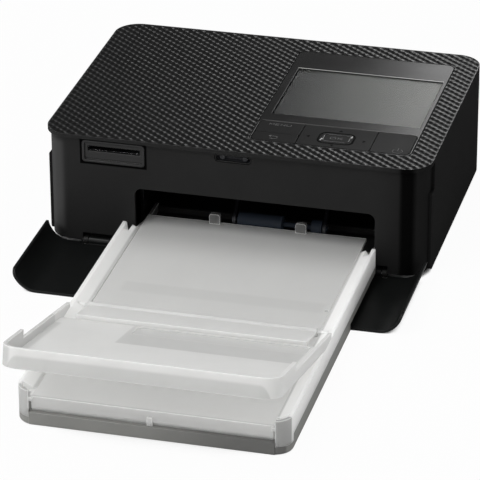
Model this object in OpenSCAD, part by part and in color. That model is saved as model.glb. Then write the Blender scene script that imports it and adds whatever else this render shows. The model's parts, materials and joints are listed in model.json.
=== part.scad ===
// Compact photo printer: case, control panel, print mechanism, ink cassette and paper cassette.
// Millimetres, +Z up, +X to the right seen from the front, +Y towards the back.

/* [Case] */
// Width of the case over its side panels
body_w = 182.2; // [180:0.2:200]
// Depth of the case from front cover to back
body_d = 133; // [131:0.5:150]
// Height of the case above the table
body_h = 57.6; // [57:0.1:66]
// Plan radius of the case's four upright corners
corner_r = 12; // [11:0.5:14]
// Thickness of the case walls
wall = 2; // [1.6:0.1:2.4]
// Thickness of the two side panels
side_panel_t = 1.5; // [1.2:0.1:1.8]
// Thickness of the textured top plate
top_t = 2.2; // [1.8:0.1:2.6]
// Height of the rubber feet, which is also the gap under the case
foot_h = 2; // [1.8:0.1:2.2]
// Radius of each rubber foot
foot_r = 6; // [5:0.5:8]
// Height of the finger notch behind each end of the front cover
notch_h = 14; // [10:0.5:16]
// Depth of that notch front to back
notch_d = 5.4; // [3:0.2:8]

/* [Front cover] */
// Thickness of the front cover
cover_t = 1.2; // [1:0.1:1.3]
// Height of the cover's hinge axis above the table
cover_axis_z = 2.6; // [2.5:0.1:2.8]
// Radius of the cover's hinge pins
cover_pin_r = 1; // [0.8:0.1:1.1]
// Distance of each hinge pin's outer end from the middle of the case
cover_pin_x = 72.5; // [70:0.5:74]
// Length of each hinge pin
cover_pin_l = 15; // [12:0.5:18]
// Height of the cover's wrapped ends above the table at rest
cover_tip_h = 10.4; // [8:0.1:10.8]
// Radius of the free corners of those wrapped ends
cover_corner_r = 4; // [2:0.5:6]

/* [Control panel] */
// Left edge of the control panel
panel_x0 = 3.2; // [2:0.1:5]
// Width of the control panel's opening
panel_w = 76.7; // [74:0.1:80]
// Depth of the control panel's opening
panel_d = 105.3; // [104:0.1:108]
// Distance from the case's front to the panel's front edge
panel_front = 14.2; // [12:0.1:16]
// Corner radius of the control panel
panel_r = 4; // [3:0.5:6]
// How far the panel lies under the top plate's surface
panel_sink = 0.3; // [0.1:0.1:0.6]
// Thickness of the control panel
panel_t = 1.9; // [1.6:0.1:2.2]
// Width of the display window
lcd_w = 70.6; // [66:0.2:70.8]
// Depth of the display window
lcd_d = 53.8; // [50:0.2:56]
// Depth of the key field at the front of the panel
keys_d = 22.7; // [20:0.1:24]
// Width of the menu and back keys
menu_w = 21.3; // [19:0.1:22]
// Width of the four-way key
nav_w = 34.7; // [32:0.1:36]
// Width of the middle key
ok_w = 14.8; // [12:0.2:16]
// Depth of the middle key
ok_d = 10; // [8:0.2:11]
// How far each key travels
key_travel = 0.4; // [0.3:0.05:0.5]

/* [Front openings] */
// Middle of the cassette opening
slot_x = 9.7; // [9:0.1:10.4]
// Width of the cassette opening
slot_w = 113.8; // [113.4:0.1:115]
// Top of the cassette opening above the table
slot_top = 32.5; // [31:0.1:33.5]
// Corner radius of the cassette opening
slot_r = 3.5; // [2:0.5:5]
// Middle of the card slot
card_x = -57.1; // [-60:0.1:-55]
// Width of the card slot's bezel
card_w = 30.2; // [29:0.1:31]
// Height of the card slot's bezel
card_h = 11.2; // [10:0.1:11.4]
// Middle height of the card slot's bezel
card_z = 49.1; // [48.9:0.1:49.5]
// Width of the pill-shaped latch recess
pill_w = 17.8; // [14:0.1:22]
// Height of the latch recess
pill_h = 4.2; // [3.6:0.1:5]
// Middle height of the latch recess
pill_z = 52.6; // [51.4:0.1:52.8]

/* [Paper cassette] */
// Middle of the paper cassette
tray_x = 7.6; // [7.4:0.1:8]
// Width of the paper cassette
tray_w = 120; // [119.4:0.1:121]
// Distance from the case's front to the cassette's front
tray_out = 165.5; // [155:0.5:175]
// Top of the cassette's side walls above the table
tray_top = 16; // [15.6:0.1:16.4]
// Underside of the cassette's front half above the table
tray_bottom = 0.5; // [0.4:0.1:1]
// Underside of its rear half, which lies over the open front cover
tray_relief = 3.6; // [3.4:0.1:4.2]
// Thickness of the cassette's walls
tray_wall = 1.6; // [1.2:0.1:1.8]
// Radius of the cassette's front corners
tray_r = 8; // [5:0.5:10]
// Height of the grey lower band of the cassette
band_top = 7; // [6.6:0.1:7.4]
// Top of the deck above the table
deck_top = 13; // [12.7:0.1:13.2]
// Thickness of the deck and of the inner cover
deck_t = 1.5; // [1.2:0.1:1.6]
// Width of the deck
deck_w = 104.6; // [104:0.2:106]
// Length of the tongue that reaches into the printer
tongue_l = 34.8; // [33:0.2:36]
// Width of the front bar
bar_w = 107.3; // [100:0.1:107.6]
// Top of the front bar above the table
bar_top = 5.9; // [5.7:0.1:6.4]
// Thickness of the front bar
bar_t = 2.2; // [1.8:0.1:2.8]
// Height of a full stack of paper in the cassette
paper_h = 2.8; // [1.5:0.1:2.8]
// Length of the notches between the cassette's side walls and its deck
notch_l = 6.2; // [4:0.2:8]
// Height of the two tabs on the inner cover
cover_tab_h = 4.9; // [3:0.1:5.2]
// How far the deck's front wall stands behind the front bar's face
deck_front_in = 1.5; // [1.2:0.1:2]

/* [Outer lid] */
// Angle at which the outer lid stands open
lid_tilt = 14; // [12:0.5:18]
// Length of the outer lid from its hinge
lid_l = 105.5; // [96:0.5:108]
// Distance from the cassette's front to the lid's hinge
lid_axis_in = 84; // [81:0.5:87]
// Height of the lid's hinge above the table
lid_axis_z = 14.2; // [14:0.1:14.3]
// Thickness of the outer lid
lid_t = 1.4; // [1:0.1:1.6]
// How far the lid's underside lies below its hinge axis
lid_drop = 2.7; // [2:0.1:2.9]
// Height of the lid's low side walls
lid_wall_h = 5.2; // [3:0.1:5.4]
// Height of the lid's tall front wall and wings
lid_fence_h = 9; // [7:0.1:9.4]
// Length of the lid's tall wings
lid_wing_l = 30; // [20:0.5:36]
// Length of the shallow recess in the lid, in front of its step
lid_recess_l = 13; // [9:0.5:16]
// Distance from the lid's left side to the recess
lid_recess_in = 37; // [30:0.5:44]
// Distance from the lid's right side to the recess
lid_recess_out = 5.4; // [4:0.2:8]

/* [Ink cassette and door] */
// Length of the ink door, front to back
door_l = 73; // [72.6:0.1:73.6]
// Height of the ink door
door_h = 42; // [41:0.2:43]
// Distance from the case's back to the door's hinge axis
door_axis_in = 21.3; // [21:0.1:22]
// Radius of the door's hinge pin
door_pin_r = 0.8; // [0.6:0.1:0.9]
// Distance between the two ribbon spools
spool_gap = 34; // [33.6:0.1:34.6]
// Height of the ribbon spools above the table
spool_z = 34; // [33.8:0.1:34.4]
// Outer radius of the ink cassette's two tubes
tube_r = 11.5; // [11:0.1:11.6]
// Radius of the fresh ribbon on the supply spool
supply_r = 9; // [7:0.2:9.2]
// Radius of the used ribbon on the take-up spool
takeup_r = 6; // [5:0.2:8]

/* [Print mechanism] */
// Thickness of the two steel side plates
plate_t = 1.5; // [1.2:0.1:1.6]
// Distance from the case's front to the platen roller
platen_in = 82.5; // [82:0.1:83]
// Height of the platen roller's axis
platen_z = 14.5; // [14.3:0.1:14.6]
// Radius of the platen roller
platen_r = 8; // [7.8:0.05:8.1]
// Radius of the drive shaft that feeds the paper
capstan_r = 4; // [3.6:0.1:4]
// Radius of the pinch roller above it
pinch_r = 3; // [2.6:0.1:3]
// Radius of the two pickup rollers
pickup_r = 3.9; // [3.6:0.1:3.9]
// Module of the drive gears
gear_m = 0.8; // [0.79:0.005:0.81]
// Teeth on the platen gear and on the capstan gear
roller_teeth = 24; // [24:1:24]
// Teeth on the idler gear
idler_teeth = 20; // [20:1:20]
// Teeth on the motor's pinion
pinion_teeth = 12; // [12:1:12]
// Thickness of the drive gears
gear_t = 3; // [2.4:0.1:3.4]
// Radius of the feed motor
motor_r = 10; // [8:0.5:10.5]
// Length of the feed motor
motor_l = 11; // [9:0.5:12]

/* [Fits] */
// Gap between neighbouring pieces that move past each other
gap = 0.3; // [0.2:0.05:0.35]
// Radial clearance of a turning fit
run = 0.06; // [0.03:0.01:0.1]

/* [Hidden] */
$fn = 48;
eps = 0.01;

// Case
half_w = body_w / 2;
half_d = body_d / 2;
front_y = -half_d;
back_y = half_d;
case_top = body_h - top_t;
skirt_z = foot_h;
floor_top = skirt_z + wall;
inset = cover_t + gap;
face_y = front_y + inset;
face_in = face_y + wall;
column_x = half_w - side_panel_t;
column_r = corner_r - side_panel_t;
tub_wall = 1.6;
side_in = column_x - tub_wall;
panel_front_y = front_y + cover_tip_h + gap;
column_back = front_y + corner_r + 4.2;
rear_seam = back_y - corner_r - 4.5;
screw_spots = [[-60, back_y - 10.5], [60, back_y - 10.5], [-80, front_y + 26.5], [80, front_y + 26.5]];
foot_spots = [for (x = [-1, 1]) for (y = [-1, 1]) [x * (half_w - 16.1), y * (half_d - 16)]];

// Front cover, drawn open and lying on the table
cover_axis_y = front_y + cover_axis_z;
cover_root = cover_axis_y + 0.2;
cover_height = case_top - 0.1 - cover_axis_z;
cover_free = cover_axis_y - cover_height;
knuckle_r = cover_pin_r + 0.8;
bracket_w = 2.2;
cover_pin_mid = cover_pin_x - cover_pin_l / 2;
ear_out = cover_pin_l / 2 - bracket_w / 2;
ear_spots = [for (side = [-1, 1]) for (end = [-1, 1]) side * cover_pin_mid + end * ear_out];

// Control panel and keys
panel_x1 = panel_x0 + panel_w;
panel_y0 = front_y + panel_front;
panel_y1 = panel_y0 + panel_d;
panel_top = body_h - panel_sink;
panel_bottom = panel_top - panel_t;
frame_edge = 0.8;
key_x0 = panel_x0 + gap + frame_edge;
key_x3 = panel_x1 - gap - frame_edge;
key_y0 = panel_y0 + gap + frame_edge;
key_y1 = key_y0 + keys_d - 1.1;
key_gap = 0.4;
key_x1 = key_x0 + menu_w;
key_x2 = key_x1 + nav_w;
menu_y = key_y1 - 12.5;
key_bottom = panel_bottom + 0.2;
nav_mid = [key_x1 + nav_w / 2, (key_y0 + key_y1) / 2 - 1];
lcd_x0 = panel_x1 - 2 - lcd_w;
lcd_y0 = key_y1 + 8.3;
board_top = case_top - 3.2;
board_t = 1.2;
board_x = [-10, half_w - 11.1];
board_y = [front_y + 11.5, back_y - 11.5];
key_spots = [
  [(key_x0 + key_x1) / 2, (menu_y + key_y1) / 2],
  [(key_x0 + key_x1) / 2, (key_y0 + menu_y) / 2],
  [nav_mid[0] - 12.5, nav_mid[1]],
  [nav_mid[0] + 12.5, nav_mid[1]],
  nav_mid,
  [(key_x2 + key_x3) / 2, (key_y0 + key_y1) / 2]
];

// Front openings
slot_x0 = slot_x - slot_w / 2;
slot_x1 = slot_x + slot_w / 2;

// Paper cassette
tray_x0 = tray_x - tray_w / 2;
tray_x1 = tray_x + tray_w / 2;
tray_front = front_y - tray_out;
tray_back = front_y - gap;
tongue_w = slot_w - 1.2;
tongue_x0 = slot_x - tongue_w / 2;
tongue_x1 = slot_x + tongue_w / 2;
tongue_back = tray_back + tongue_l;
tray_floor = floor_top + 0.7;
tray_floor_t = 1.2;
paper_z = tray_floor + tray_floor_t;
tongue_top = deck_top + 0.2;
tongue_end = deck_top - 3.4;
deck_x0 = tray_x - deck_w / 2;
deck_x1 = tray_x + deck_w / 2;
ledge_z = deck_top - deck_t;
rail_lip = 1.5;
post_foot = tray_relief;
bar_x0 = tray_x - bar_w / 2;
bar_x1 = tray_x + bar_w / 2;

// Outer lid
lid_axis_y = tray_front + lid_axis_in;
lid_rod_r = 1;
lid_knuckle_r = 1.8;
lid_side_t = 1.5;
lid_step = 18;
lid_x0 = deck_x0 + 0.3;
lid_x1 = deck_x1 - 0.3;
deck_end = lid_axis_y - lid_knuckle_r - gap;
inner_axis_y = lid_axis_y + lid_knuckle_r + gap + deck_t / 2;
inner_axis_z = deck_top - deck_t / 2;
inner_back = tray_back + 15.2;

// Print mechanism, set out from the cassette opening
plate_x0 = slot_x0 - 3.1;
plate_x1 = slot_x1 + 3.1;
left_in = plate_x0 + plate_t;
right_in = plate_x1 - plate_t;
platen_y = front_y + platen_in;
nip_z = platen_z + platen_r;
capstan = [platen_y - 32, nip_z - capstan_r];
pinch = [capstan[0], nip_z + gap + pinch_r];
platen = [platen_y, platen_z];
film_z = nip_z + 0.25;
film_t = 0.15;
head_z = film_z + film_t + 0.2;
pickup = [tongue_back - 14.3, paper_z + paper_h + gap + pickup_r];
pickup_pivot = [pickup[0] + 16.5, slot_top - 5.5];
head_pivot = [platen_y + 40, spool_z + 10];
takeup = [platen_y - 16, spool_z];
supply = [takeup[0] + spool_gap, spool_z];
shaft_r = 2.5;
pin_r = 1.5;
tube_in = tube_r - 1.2;
housing_x0 = -half_w + side_panel_t + 5.6;
housing_x1 = right_in - 2.1;
film_x = [left_in + 5.8, right_in - 6.2];
mech_top = spool_z + 13;
plate_y0 = pickup_pivot[0] - 15;
plate_y1 = head_pivot[0] + 3.5;
roof_y1 = takeup[0] - tube_r - 0.6;
bay_y0 = platen_y - 40;
door_axis_x = -half_w + side_panel_t;
door_axis_y = back_y - door_axis_in;
door_knuckle_r = side_panel_t;
door_z0 = floor_top + 4;
door_z1 = door_z0 + door_h;

// Drive gears: the idler sits above the two roller gears and meshes with both
gear_x = plate_x1 + 0.5;
roller_reach = gear_m * (roller_teeth + idler_teeth) / 2;
pinion_reach = gear_m * (pinion_teeth + idler_teeth) / 2;
axis_run = platen - capstan;
axis_dist = norm(axis_run);
axis_dir = atan2(axis_run[1], axis_run[0]);
idler_rise = sqrt(roller_reach * roller_reach - axis_dist * axis_dist / 4);
idler = (platen + capstan) / 2 + idler_rise * [-sin(axis_dir), cos(axis_dir)];
pinion_dir = 90;
pinion = idler + pinion_reach * [cos(pinion_dir), sin(pinion_dir)];
motor_x = gear_x + gear_t + 1.6;
motor_posts = [for (a = [40, 140]) pinion + 13 * [cos(a), sin(a)]];

// The part's origin is under the middle of its outline, at table height
part_front = lid_axis_y - lid_l * cos(lid_tilt) - lid_drop * sin(lid_tilt);
origin_y = (part_front + back_y) / 2;

module place() {
  translate([0, -origin_y, 0]) children();
}

module block(x0, x1, y0, y1, z0, z1) {
  translate([x0, y0, z0]) cube([x1 - x0, y1 - y0, z1 - z0]);
}

module round_rect(x0, x1, y0, y1, r) {
  translate([x0 + r, y0]) square([x1 - x0 - 2 * r, y1 - y0]);
  translate([x0, y0 + r]) square([x1 - x0, y1 - y0 - 2 * r]);
  for (x = [x0 + r, x1 - r]) {
    for (y = [y0 + r, y1 - r]) {
      translate([x, y]) circle(r);
    }
  }
}

module slab(x0, x1, y0, y1, z0, z1, r) {
  translate([0, 0, z0]) linear_extrude(z1 - z0) round_rect(x0, x1, y0, y1, r);
}

// A profile drawn in Y and Z, carried along X
module along_x(x0, x1) {
  translate([x0, 0, 0]) rotate([90, 0, 90]) linear_extrude(x1 - x0) children();
}

// A profile drawn in X and Z, carried along Y
module along_y(y0, y1) {
  translate([0, y1, 0]) rotate([90, 0, 0]) linear_extrude(y1 - y0) children();
}

module rod_x(x0, x1, at, r) {
  translate([x0, at[0], at[1]]) rotate([0, 90, 0]) cylinder(h = x1 - x0, r = r);
}

module rod_y(y0, y1, x, z, r) {
  translate([x, y1, z]) rotate([90, 0, 0]) cylinder(h = y1 - y0, r = r);
}

module rod_z(z0, z1, x, y, r) {
  translate([x, y, z0]) cylinder(h = z1 - z0, r = r);
}

// Case

// Outline of the floor: inside the front and rear panels, and out to the side panels between
module floor_outline() {
  intersection() {
    round_rect(-column_x + wall, column_x - wall, face_in, back_y, column_r - wall);
    translate([-half_w, face_in]) square([body_w, column_back - face_in + eps]);
  }
  translate([-column_x, column_back]) square([2 * column_x, rear_seam - column_back]);
  intersection() {
    round_rect(-half_w + wall, half_w - wall, 0, back_y - wall, corner_r - wall);
    translate([-half_w, rear_seam - eps]) square([body_w, half_d]);
  }
}

module base_tub() {
  color("#1b1b1d") place() {
    difference() {
      union() {
        translate([0, 0, skirt_z]) linear_extrude(wall) floor_outline();
        block(-column_x, -side_in, column_back, rear_seam, floor_top, case_top);
        block(side_in, column_x, column_back, rear_seam, floor_top, case_top);
        for (s = screw_spots) {
          rod_z(floor_top, floor_top + 8, s[0], s[1], 4);
        }
        cover_brackets();
        cassette_guides();
        block(-side_in + gap, -side_in + 8, platen_y - 10, platen_y + 8, floor_top, floor_top + 8);
      }
      for (s = screw_spots) {
        rod_z(skirt_z - eps, floor_top + 7.5, s[0], s[1], pin_r);
        rod_z(skirt_z - eps, skirt_z + 1.6, s[0], s[1], 3.3);
      }
      for (side = [-1, 1]) {
        knuckle_clearance(side);
      }
      block(-column_x - eps, -side_in + eps, bay_y0 + 4, door_axis_y - 4, door_z0 + 2, door_z1 - 2);
      rod_z(door_z0 - gap, door_z1 + gap, door_axis_x, door_axis_y, door_knuckle_r + gap);
      door_pin_hole();
    }
  }
}

// Ears on the floor that hold the two hinge pins of the front cover
module cover_brackets() {
  for (x = ear_spots) {
    rod_x(x - bracket_w / 2, x + bracket_w / 2, [cover_axis_y, cover_axis_z], knuckle_r);
    block(x - bracket_w / 2, x + bracket_w / 2, cover_axis_y, face_in + 3, skirt_z,
          cover_axis_z + knuckle_r);
  }
}

module knuckle_clearance(side) {
  mid = side * cover_pin_mid;
  reach = cover_pin_l / 2 - bracket_w;
  block(mid - reach, mid + reach, front_y, cover_axis_y + knuckle_r + gap, 0, floor_top + 3);
  rod_x(mid - cover_pin_l / 2 - eps, mid + cover_pin_l / 2 + eps, [cover_axis_y, cover_axis_z],
        cover_pin_r);
}

module cassette_guides() {
  for (x = [tongue_x0 - gap - 1.5, tongue_x1 + gap]) {
    block(x, x + 1.5, face_in, tongue_back - 14, floor_top, floor_top + 6);
  }
}

module front_panel() {
  color("#1d1d1f") place() {
    pocket_top = cover_axis_z + knuckle_r + 2.4;
    bottom = floor_top - 1;
    difference() {
      translate([0, 0, bottom]) linear_extrude(case_top - bottom) front_outline();
      along_y(front_y - 1, face_in + 1) {
        round_rect(slot_x0, slot_x1, -slot_r, slot_top, slot_r);
        round_rect(card_x - card_w / 2, card_x + card_w / 2, card_z - card_h / 2,
                   card_z + card_h / 2, 1.8);
        round_rect(-pill_w / 2, pill_w / 2, pill_z - pill_h / 2, pill_z + pill_h / 2,
                   pill_h / 2 - eps);
      }
      for (side = [-1, 1]) {
        mid = side * cover_pin_mid;
        block(mid - cover_pin_l / 2 - gap, mid + cover_pin_l / 2 + gap, front_y - 1,
              face_in + 1, 0, pocket_top);
      }
    }
  }
}

module front_outline() {
  difference() {
    round_rect(-column_x, column_x, face_y, 0, column_r);
    round_rect(-column_x + wall, column_x - wall, face_in, 0, column_r - wall);
    translate([-half_w, column_back]) square([body_w, body_d]);
  }
}

// One side panel: a flat skin with a finger notch at its front top corner
module side_skin(side) {
  x0 = side > 0 ? column_x : -half_w;
  difference() {
    translate([x0, 0, 0]) rotate([90, 0, 90]) linear_extrude(side_panel_t) difference() {
      round_rect(panel_front_y, rear_seam, skirt_z, case_top, 3);
      translate([panel_front_y - 1, case_top - notch_h]) square([1 + notch_d, notch_h + 1]);
    }
  }
  translate([x0, 0, 0]) rotate([90, 0, 90]) linear_extrude(side_panel_t) {
    translate([panel_front_y + notch_d, case_top - 4]) square([4, 4]);
    translate([rear_seam - 4, case_top - 4]) square([4, 4]);
    translate([rear_seam - 4, skirt_z]) square([4, 4]);
  }
}

module right_panel() {
  color("#202022") place() side_skin(1);
}

module left_panel() {
  color("#202022") place() difference() {
    side_skin(-1);
    block(-half_w - 1, -column_x + 1, door_axis_y - door_l - gap, door_axis_y + door_knuckle_r + gap,
          door_z0 - gap, door_z1 + gap);
    door_pin_hole();
  }
}

module door_pin_hole() {
  rod_z(door_z0 - 2 - eps, door_z1 + 2 + eps, door_axis_x, door_axis_y, door_pin_r);
}

module rear_panel() {
  color("#1b1b1d") place() {
    difference() {
      translate([0, 0, skirt_z]) linear_extrude(case_top - skirt_z) difference() {
        round_rect(-half_w, half_w, 0, back_y, corner_r);
        round_rect(-half_w + wall, half_w - wall, -10, back_y - wall, corner_r - wall);
        translate([-half_w - 1, -20]) square([body_w + 2, 20 + rear_seam]);
      }
      block(slot_x0 + 1.5, slot_x1 - 1.5, back_y - wall - 1, back_y + 1, nip_z - 4, nip_z + 3);
      for (i = [0:17]) {
        x = -68 + i * 6;
        block(x, x + 2.6, back_y - wall - 1, back_y + 1, case_top - 18, case_top - 6);
      }
      block(dc_x - 5.2, dc_x + 5.2, back_y - wall - 1, back_y + 1, dc_z - 5.2, dc_z + 5.2);
      along_y(back_y - wall - 1, back_y + 1) {
        round_rect(dc_x - 4.8, dc_x + 4.8, usb_z - 2, usb_z + 2, 1.9);
      }
    }
  }
}

module top_cover() {
  color("#242426") place() {
    difference() {
      union() {
        slab(-half_w, half_w, front_y, back_y, case_top, body_h, corner_r);
        slab(panel_x0 - 2.5, panel_x1 + 2.5, panel_y0 - 2.5, panel_y1 + 2.5, panel_bottom - 1.2,
             case_top + eps, panel_r + 2.5);
        for (x = [board_x[0] + 4, board_x[1] - 4]) {
          for (y = [board_y[0] + 4, board_y[1] - 4]) {
            rod_z(board_top, case_top + eps, x, y, 3);
          }
        }
      }
      slab(panel_x0, panel_x1, panel_y0, panel_y1, panel_bottom, body_h + 1, panel_r);
      slab(panel_x0 + 0.8, panel_x1 - 0.8, panel_y0 + 0.8, panel_y1 - 0.8, board_top - 1,
           body_h, panel_r - 0.8);
    }
  }
}

module rubber_feet() {
  color("#2a2a2a") place() {
    for (s = foot_spots) {
      rod_z(0, foot_h, s[0], s[1], foot_r);
    }
  }
}

module case_screws() {
  color("#8d9095") place() {
    for (s = screw_spots) {
      difference() {
        union() {
          rod_z(skirt_z + 0.3, skirt_z + 1.6, s[0], s[1], 3);
          rod_z(skirt_z + 0.3, floor_top + 7, s[0], s[1], pin_r);
        }
        block(s[0] - 1.8, s[0] + 1.8, s[1] - 0.3, s[1] + 0.3, 0, skirt_z + 0.9);
        block(s[0] - 0.3, s[0] + 0.3, s[1] - 1.8, s[1] + 1.8, 0, skirt_z + 0.9);
      }
    }
  }
}

// Control panel

module control_panel() {
  color("#101012") place() {
    difference() {
      slab(panel_x0 + gap, panel_x1 - gap, panel_y0 + gap, panel_y1 - gap, panel_bottom,
           panel_top, panel_r - gap);
      slab(key_x0 - key_gap / 2, key_x3 + key_gap / 2, key_y0 - key_gap / 2, key_y1 + key_gap / 2,
           panel_bottom - 1, panel_top + 1, panel_r - gap - frame_edge);
      block(lcd_x0, lcd_x0 + lcd_w, lcd_y0, lcd_y0 + lcd_d, panel_bottom - 1, panel_top + 1);
    }
  }
}

module lcd_glass() {
  color("#3a3d42", 0.6) place() {
    block(lcd_x0, lcd_x0 + lcd_w, lcd_y0, lcd_y0 + lcd_d, panel_top - 0.8, panel_top);
  }
}

module lcd_module() {
  color("#6f7276") place() {
    block(lcd_x0 + gap, lcd_x0 + lcd_w - gap, lcd_y0 + gap, lcd_y0 + lcd_d - gap,
          board_top + 1, panel_top - 0.9);
    block(lcd_x0 - 0.6, lcd_x0 + lcd_w + 0.6, lcd_y0 - 1, lcd_y0 + lcd_d + 1, board_top,
          panel_bottom - 0.1);
  }
}

// One flat key with a stem that stands over its switch
module key_plate(x0, x1, y0, y1, stems) {
  side = key_gap / 2;
  intersection() {
    slab(x0 + side, x1 - side, y0 + side, y1 - side, key_bottom, panel_top, 0.8);
    slab(key_x0 + side, key_x3 - side, key_y0 + side, key_y1 - side, key_bottom - 1,
         panel_top + 1, panel_r - gap - frame_edge - side);
  }
  for (s = stems) {
    rod_z(switch_top + key_travel + 0.1, key_bottom + eps, s[0], s[1], 1.5);
  }
}

switch_top = key_bottom - 1.1;

module menu_key() {
  color("#141416") place() key_plate(key_x0, key_x1, menu_y, key_y1, [key_spots[0]]);
}

module back_key() {
  color("#141416") place() key_plate(key_x0, key_x1, key_y0, menu_y, [key_spots[1]]);
}

module nav_key() {
  color("#141416") place() difference() {
    key_plate(key_x1, key_x2, key_y0, key_y1, [key_spots[2], key_spots[3]]);
    slab(nav_mid[0] - ok_w / 2 - gap, nav_mid[0] + ok_w / 2 + gap, nav_mid[1] - ok_d / 2 - gap,
         nav_mid[1] + ok_d / 2 + gap, panel_bottom - 1, panel_top + 1, 2.5);
  }
}

module ok_key() {
  color("#1a1a1c") place() {
    slab(nav_mid[0] - ok_w / 2, nav_mid[0] + ok_w / 2, nav_mid[1] - ok_d / 2,
         nav_mid[1] + ok_d / 2, key_bottom, panel_top, 2.2);
    rod_z(switch_top + key_travel + 0.1, key_bottom + eps, nav_mid[0], nav_mid[1], 1.5);
  }
}

module power_key() {
  color("#141416") place() key_plate(key_x2, key_x3, key_y0, key_y1, [key_spots[5]]);
}

module main_board() {
  color("#1f5a3a") place() {
    block(board_x[0], board_x[1], board_y[0], board_y[1], board_top - board_t, board_top);
    block(4, 18, -10, 4, board_top - board_t - 1.2, board_top - board_t);
    block(26, 36, -8, 2, board_top - board_t - 1, board_top - board_t);
    block(44, 52, -24, -12, board_top - board_t - 1, board_top - board_t);
  }
}

module key_switches() {
  color("#b9bcc0") place() {
    for (s = key_spots) {
      block(s[0] - 1.9, s[0] + 1.9, s[1] - 1.9, s[1] + 1.9, board_top, switch_top - 0.6);
      rod_z(board_top, switch_top, s[0], s[1], 1.1);
    }
  }
}

// Front openings

module card_bezel() {
  color("#17171a") place() {
    x0 = card_x - card_w / 2 + 0.15;
    x1 = card_x + card_w / 2 - 0.15;
    z0 = card_z - card_h / 2 + 0.15;
    z1 = card_z + card_h / 2 - 0.15;
    difference() {
      along_y(face_y - 0.15, face_in + 0.6) round_rect(x0, x1, z0, z1, 1.7);
      along_y(face_y - 1, face_y + 0.9) round_rect(x0 + 1.1, x1 - 1.1, z0 + 1.1, z1 - 1.1, 1);
      block(card_x - 12.5, card_x + 12.5, face_y, face_in + 2, card_z - 0.2, card_z + 2.4);
    }
  }
}

module card_socket() {
  color("#a9acb0") place() {
    y0 = face_in + 0.6;
    difference() {
      block(card_x - 14, card_x + 14, y0, y0 + 28, card_z - 1.2, card_z + 3.4);
      block(card_x - 12.5, card_x + 12.5, y0 - 1, y0 + 26, card_z - 0.2, card_z + 2.4);
    }
    block(card_x - 16, card_x + 16, y0, y0 + 31, card_z - 2.6, card_z - 1.2);
  }
}

module latch_recess() {
  color("#303236") place() {
    w = pill_w - 0.3;
    h = pill_h - 0.3;
    difference() {
      along_y(face_y + 0.3, face_in + 3) {
        round_rect(-w / 2, w / 2, pill_z - h / 2, pill_z + h / 2, h / 2 - eps);
      }
      along_y(face_y, face_in + 1.8) {
        round_rect(-w / 2 + 0.6, w / 2 - 0.6, pill_z - h / 2 + 0.6, pill_z + h / 2 - 0.6,
                   h / 2 - 0.61);
      }
    }
    for (side = [-1, 1]) {
      translate([side * (w / 2 - 3.4), 0, pill_z]) rotate([90, 0, 0])
        translate([0, 0, -face_in - 2]) cylinder(h = 2.6, r = 1.2);
    }
  }
}

// Front cover, drawn open: a flat plate whose two ends curl up to wrap the case's corners

module front_cover() {
  color("#161618") place() {
    difference() {
      union() {
        along_y(cover_free, cover_root) cover_section();
        for (side = [-1, 1]) {
          mid = side * cover_pin_mid;
          reach = cover_pin_l / 2 - bracket_w - gap;
          rod_x(mid - reach, mid + reach, [cover_axis_y, cover_axis_z], knuckle_r);
          block(mid - reach, mid + reach, cover_axis_y - knuckle_r + 0.4, cover_root, 0.3,
                cover_axis_z);
        }
      }
      for (side = [-1, 1]) {
        mid = side * cover_pin_mid;
        rod_x(mid - cover_pin_l, mid + cover_pin_l, [cover_axis_y, cover_axis_z],
              cover_pin_r + run);
      }
      along_x(-half_w - 1, half_w + 1) difference() {
        translate([cover_free - 1, cover_tip_h - cover_corner_r]) {
          square([cover_corner_r + 1, cover_corner_r + 1]);
        }
        translate([cover_free + cover_corner_r, cover_tip_h - cover_corner_r]) {
          circle(cover_corner_r + 0.15);
        }
      }
      for (x = ear_spots) {
        block(x - bracket_w / 2 - gap, x + bracket_w / 2 + gap, cover_axis_y - knuckle_r - gap,
              cover_root + 1, -1, cover_t + 1);
      }
    }
  }
}

module cover_section() {
  intersection() {
    difference() {
      round_rect(-half_w, half_w, 0, 2 * corner_r + 1, corner_r);
      round_rect(-half_w + cover_t, half_w - cover_t, cover_t, 2 * corner_r + 1 - cover_t,
                 corner_r - cover_t);
    }
    translate([-half_w, 0]) square([body_w, cover_tip_h]);
  }
}

module cover_hinge_pins() {
  color("#b4b6ba") place() {
    for (side = [-1, 1]) {
      mid = side * cover_pin_mid;
      rod_x(mid - cover_pin_l / 2, mid + cover_pin_l / 2, [cover_axis_y, cover_axis_z],
            cover_pin_r);
    }
  }
}

// Ink door and ink cassette

module ink_door() {
  color("#202022") place() {
    difference() {
      union() {
        block(-half_w, -column_x, door_axis_y - door_l, door_axis_y, door_z0, door_z1);
        rod_z(door_z0, door_z1, door_axis_x, door_axis_y, door_knuckle_r);
      }
      rod_z(door_z0 - 1, door_z1 + 1, door_axis_x, door_axis_y, door_pin_r + run);
      rod_z(door_z0 + 12, door_z1 - 12, -half_w - 9, door_axis_y - door_l + 6, 9.8);
    }
  }
}

module door_hinge_pin() {
  color("#9a9da1") place() {
    rod_z(door_z0 - 2, door_z1 + 2, door_axis_x, door_axis_y, door_pin_r);
  }
}

module eject_slider() {
  color("#c9772a") place() {
    x0 = -side_in + 1;
    z0 = floor_top + 8;
    block(x0, x0 + 5, platen_y - 8, platen_y + 2, z0, z0 + 4);
    block(x0 + 1, x0 + 4, platen_y - 4, platen_y - 1, z0, z0 + 9);
  }
}

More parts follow.
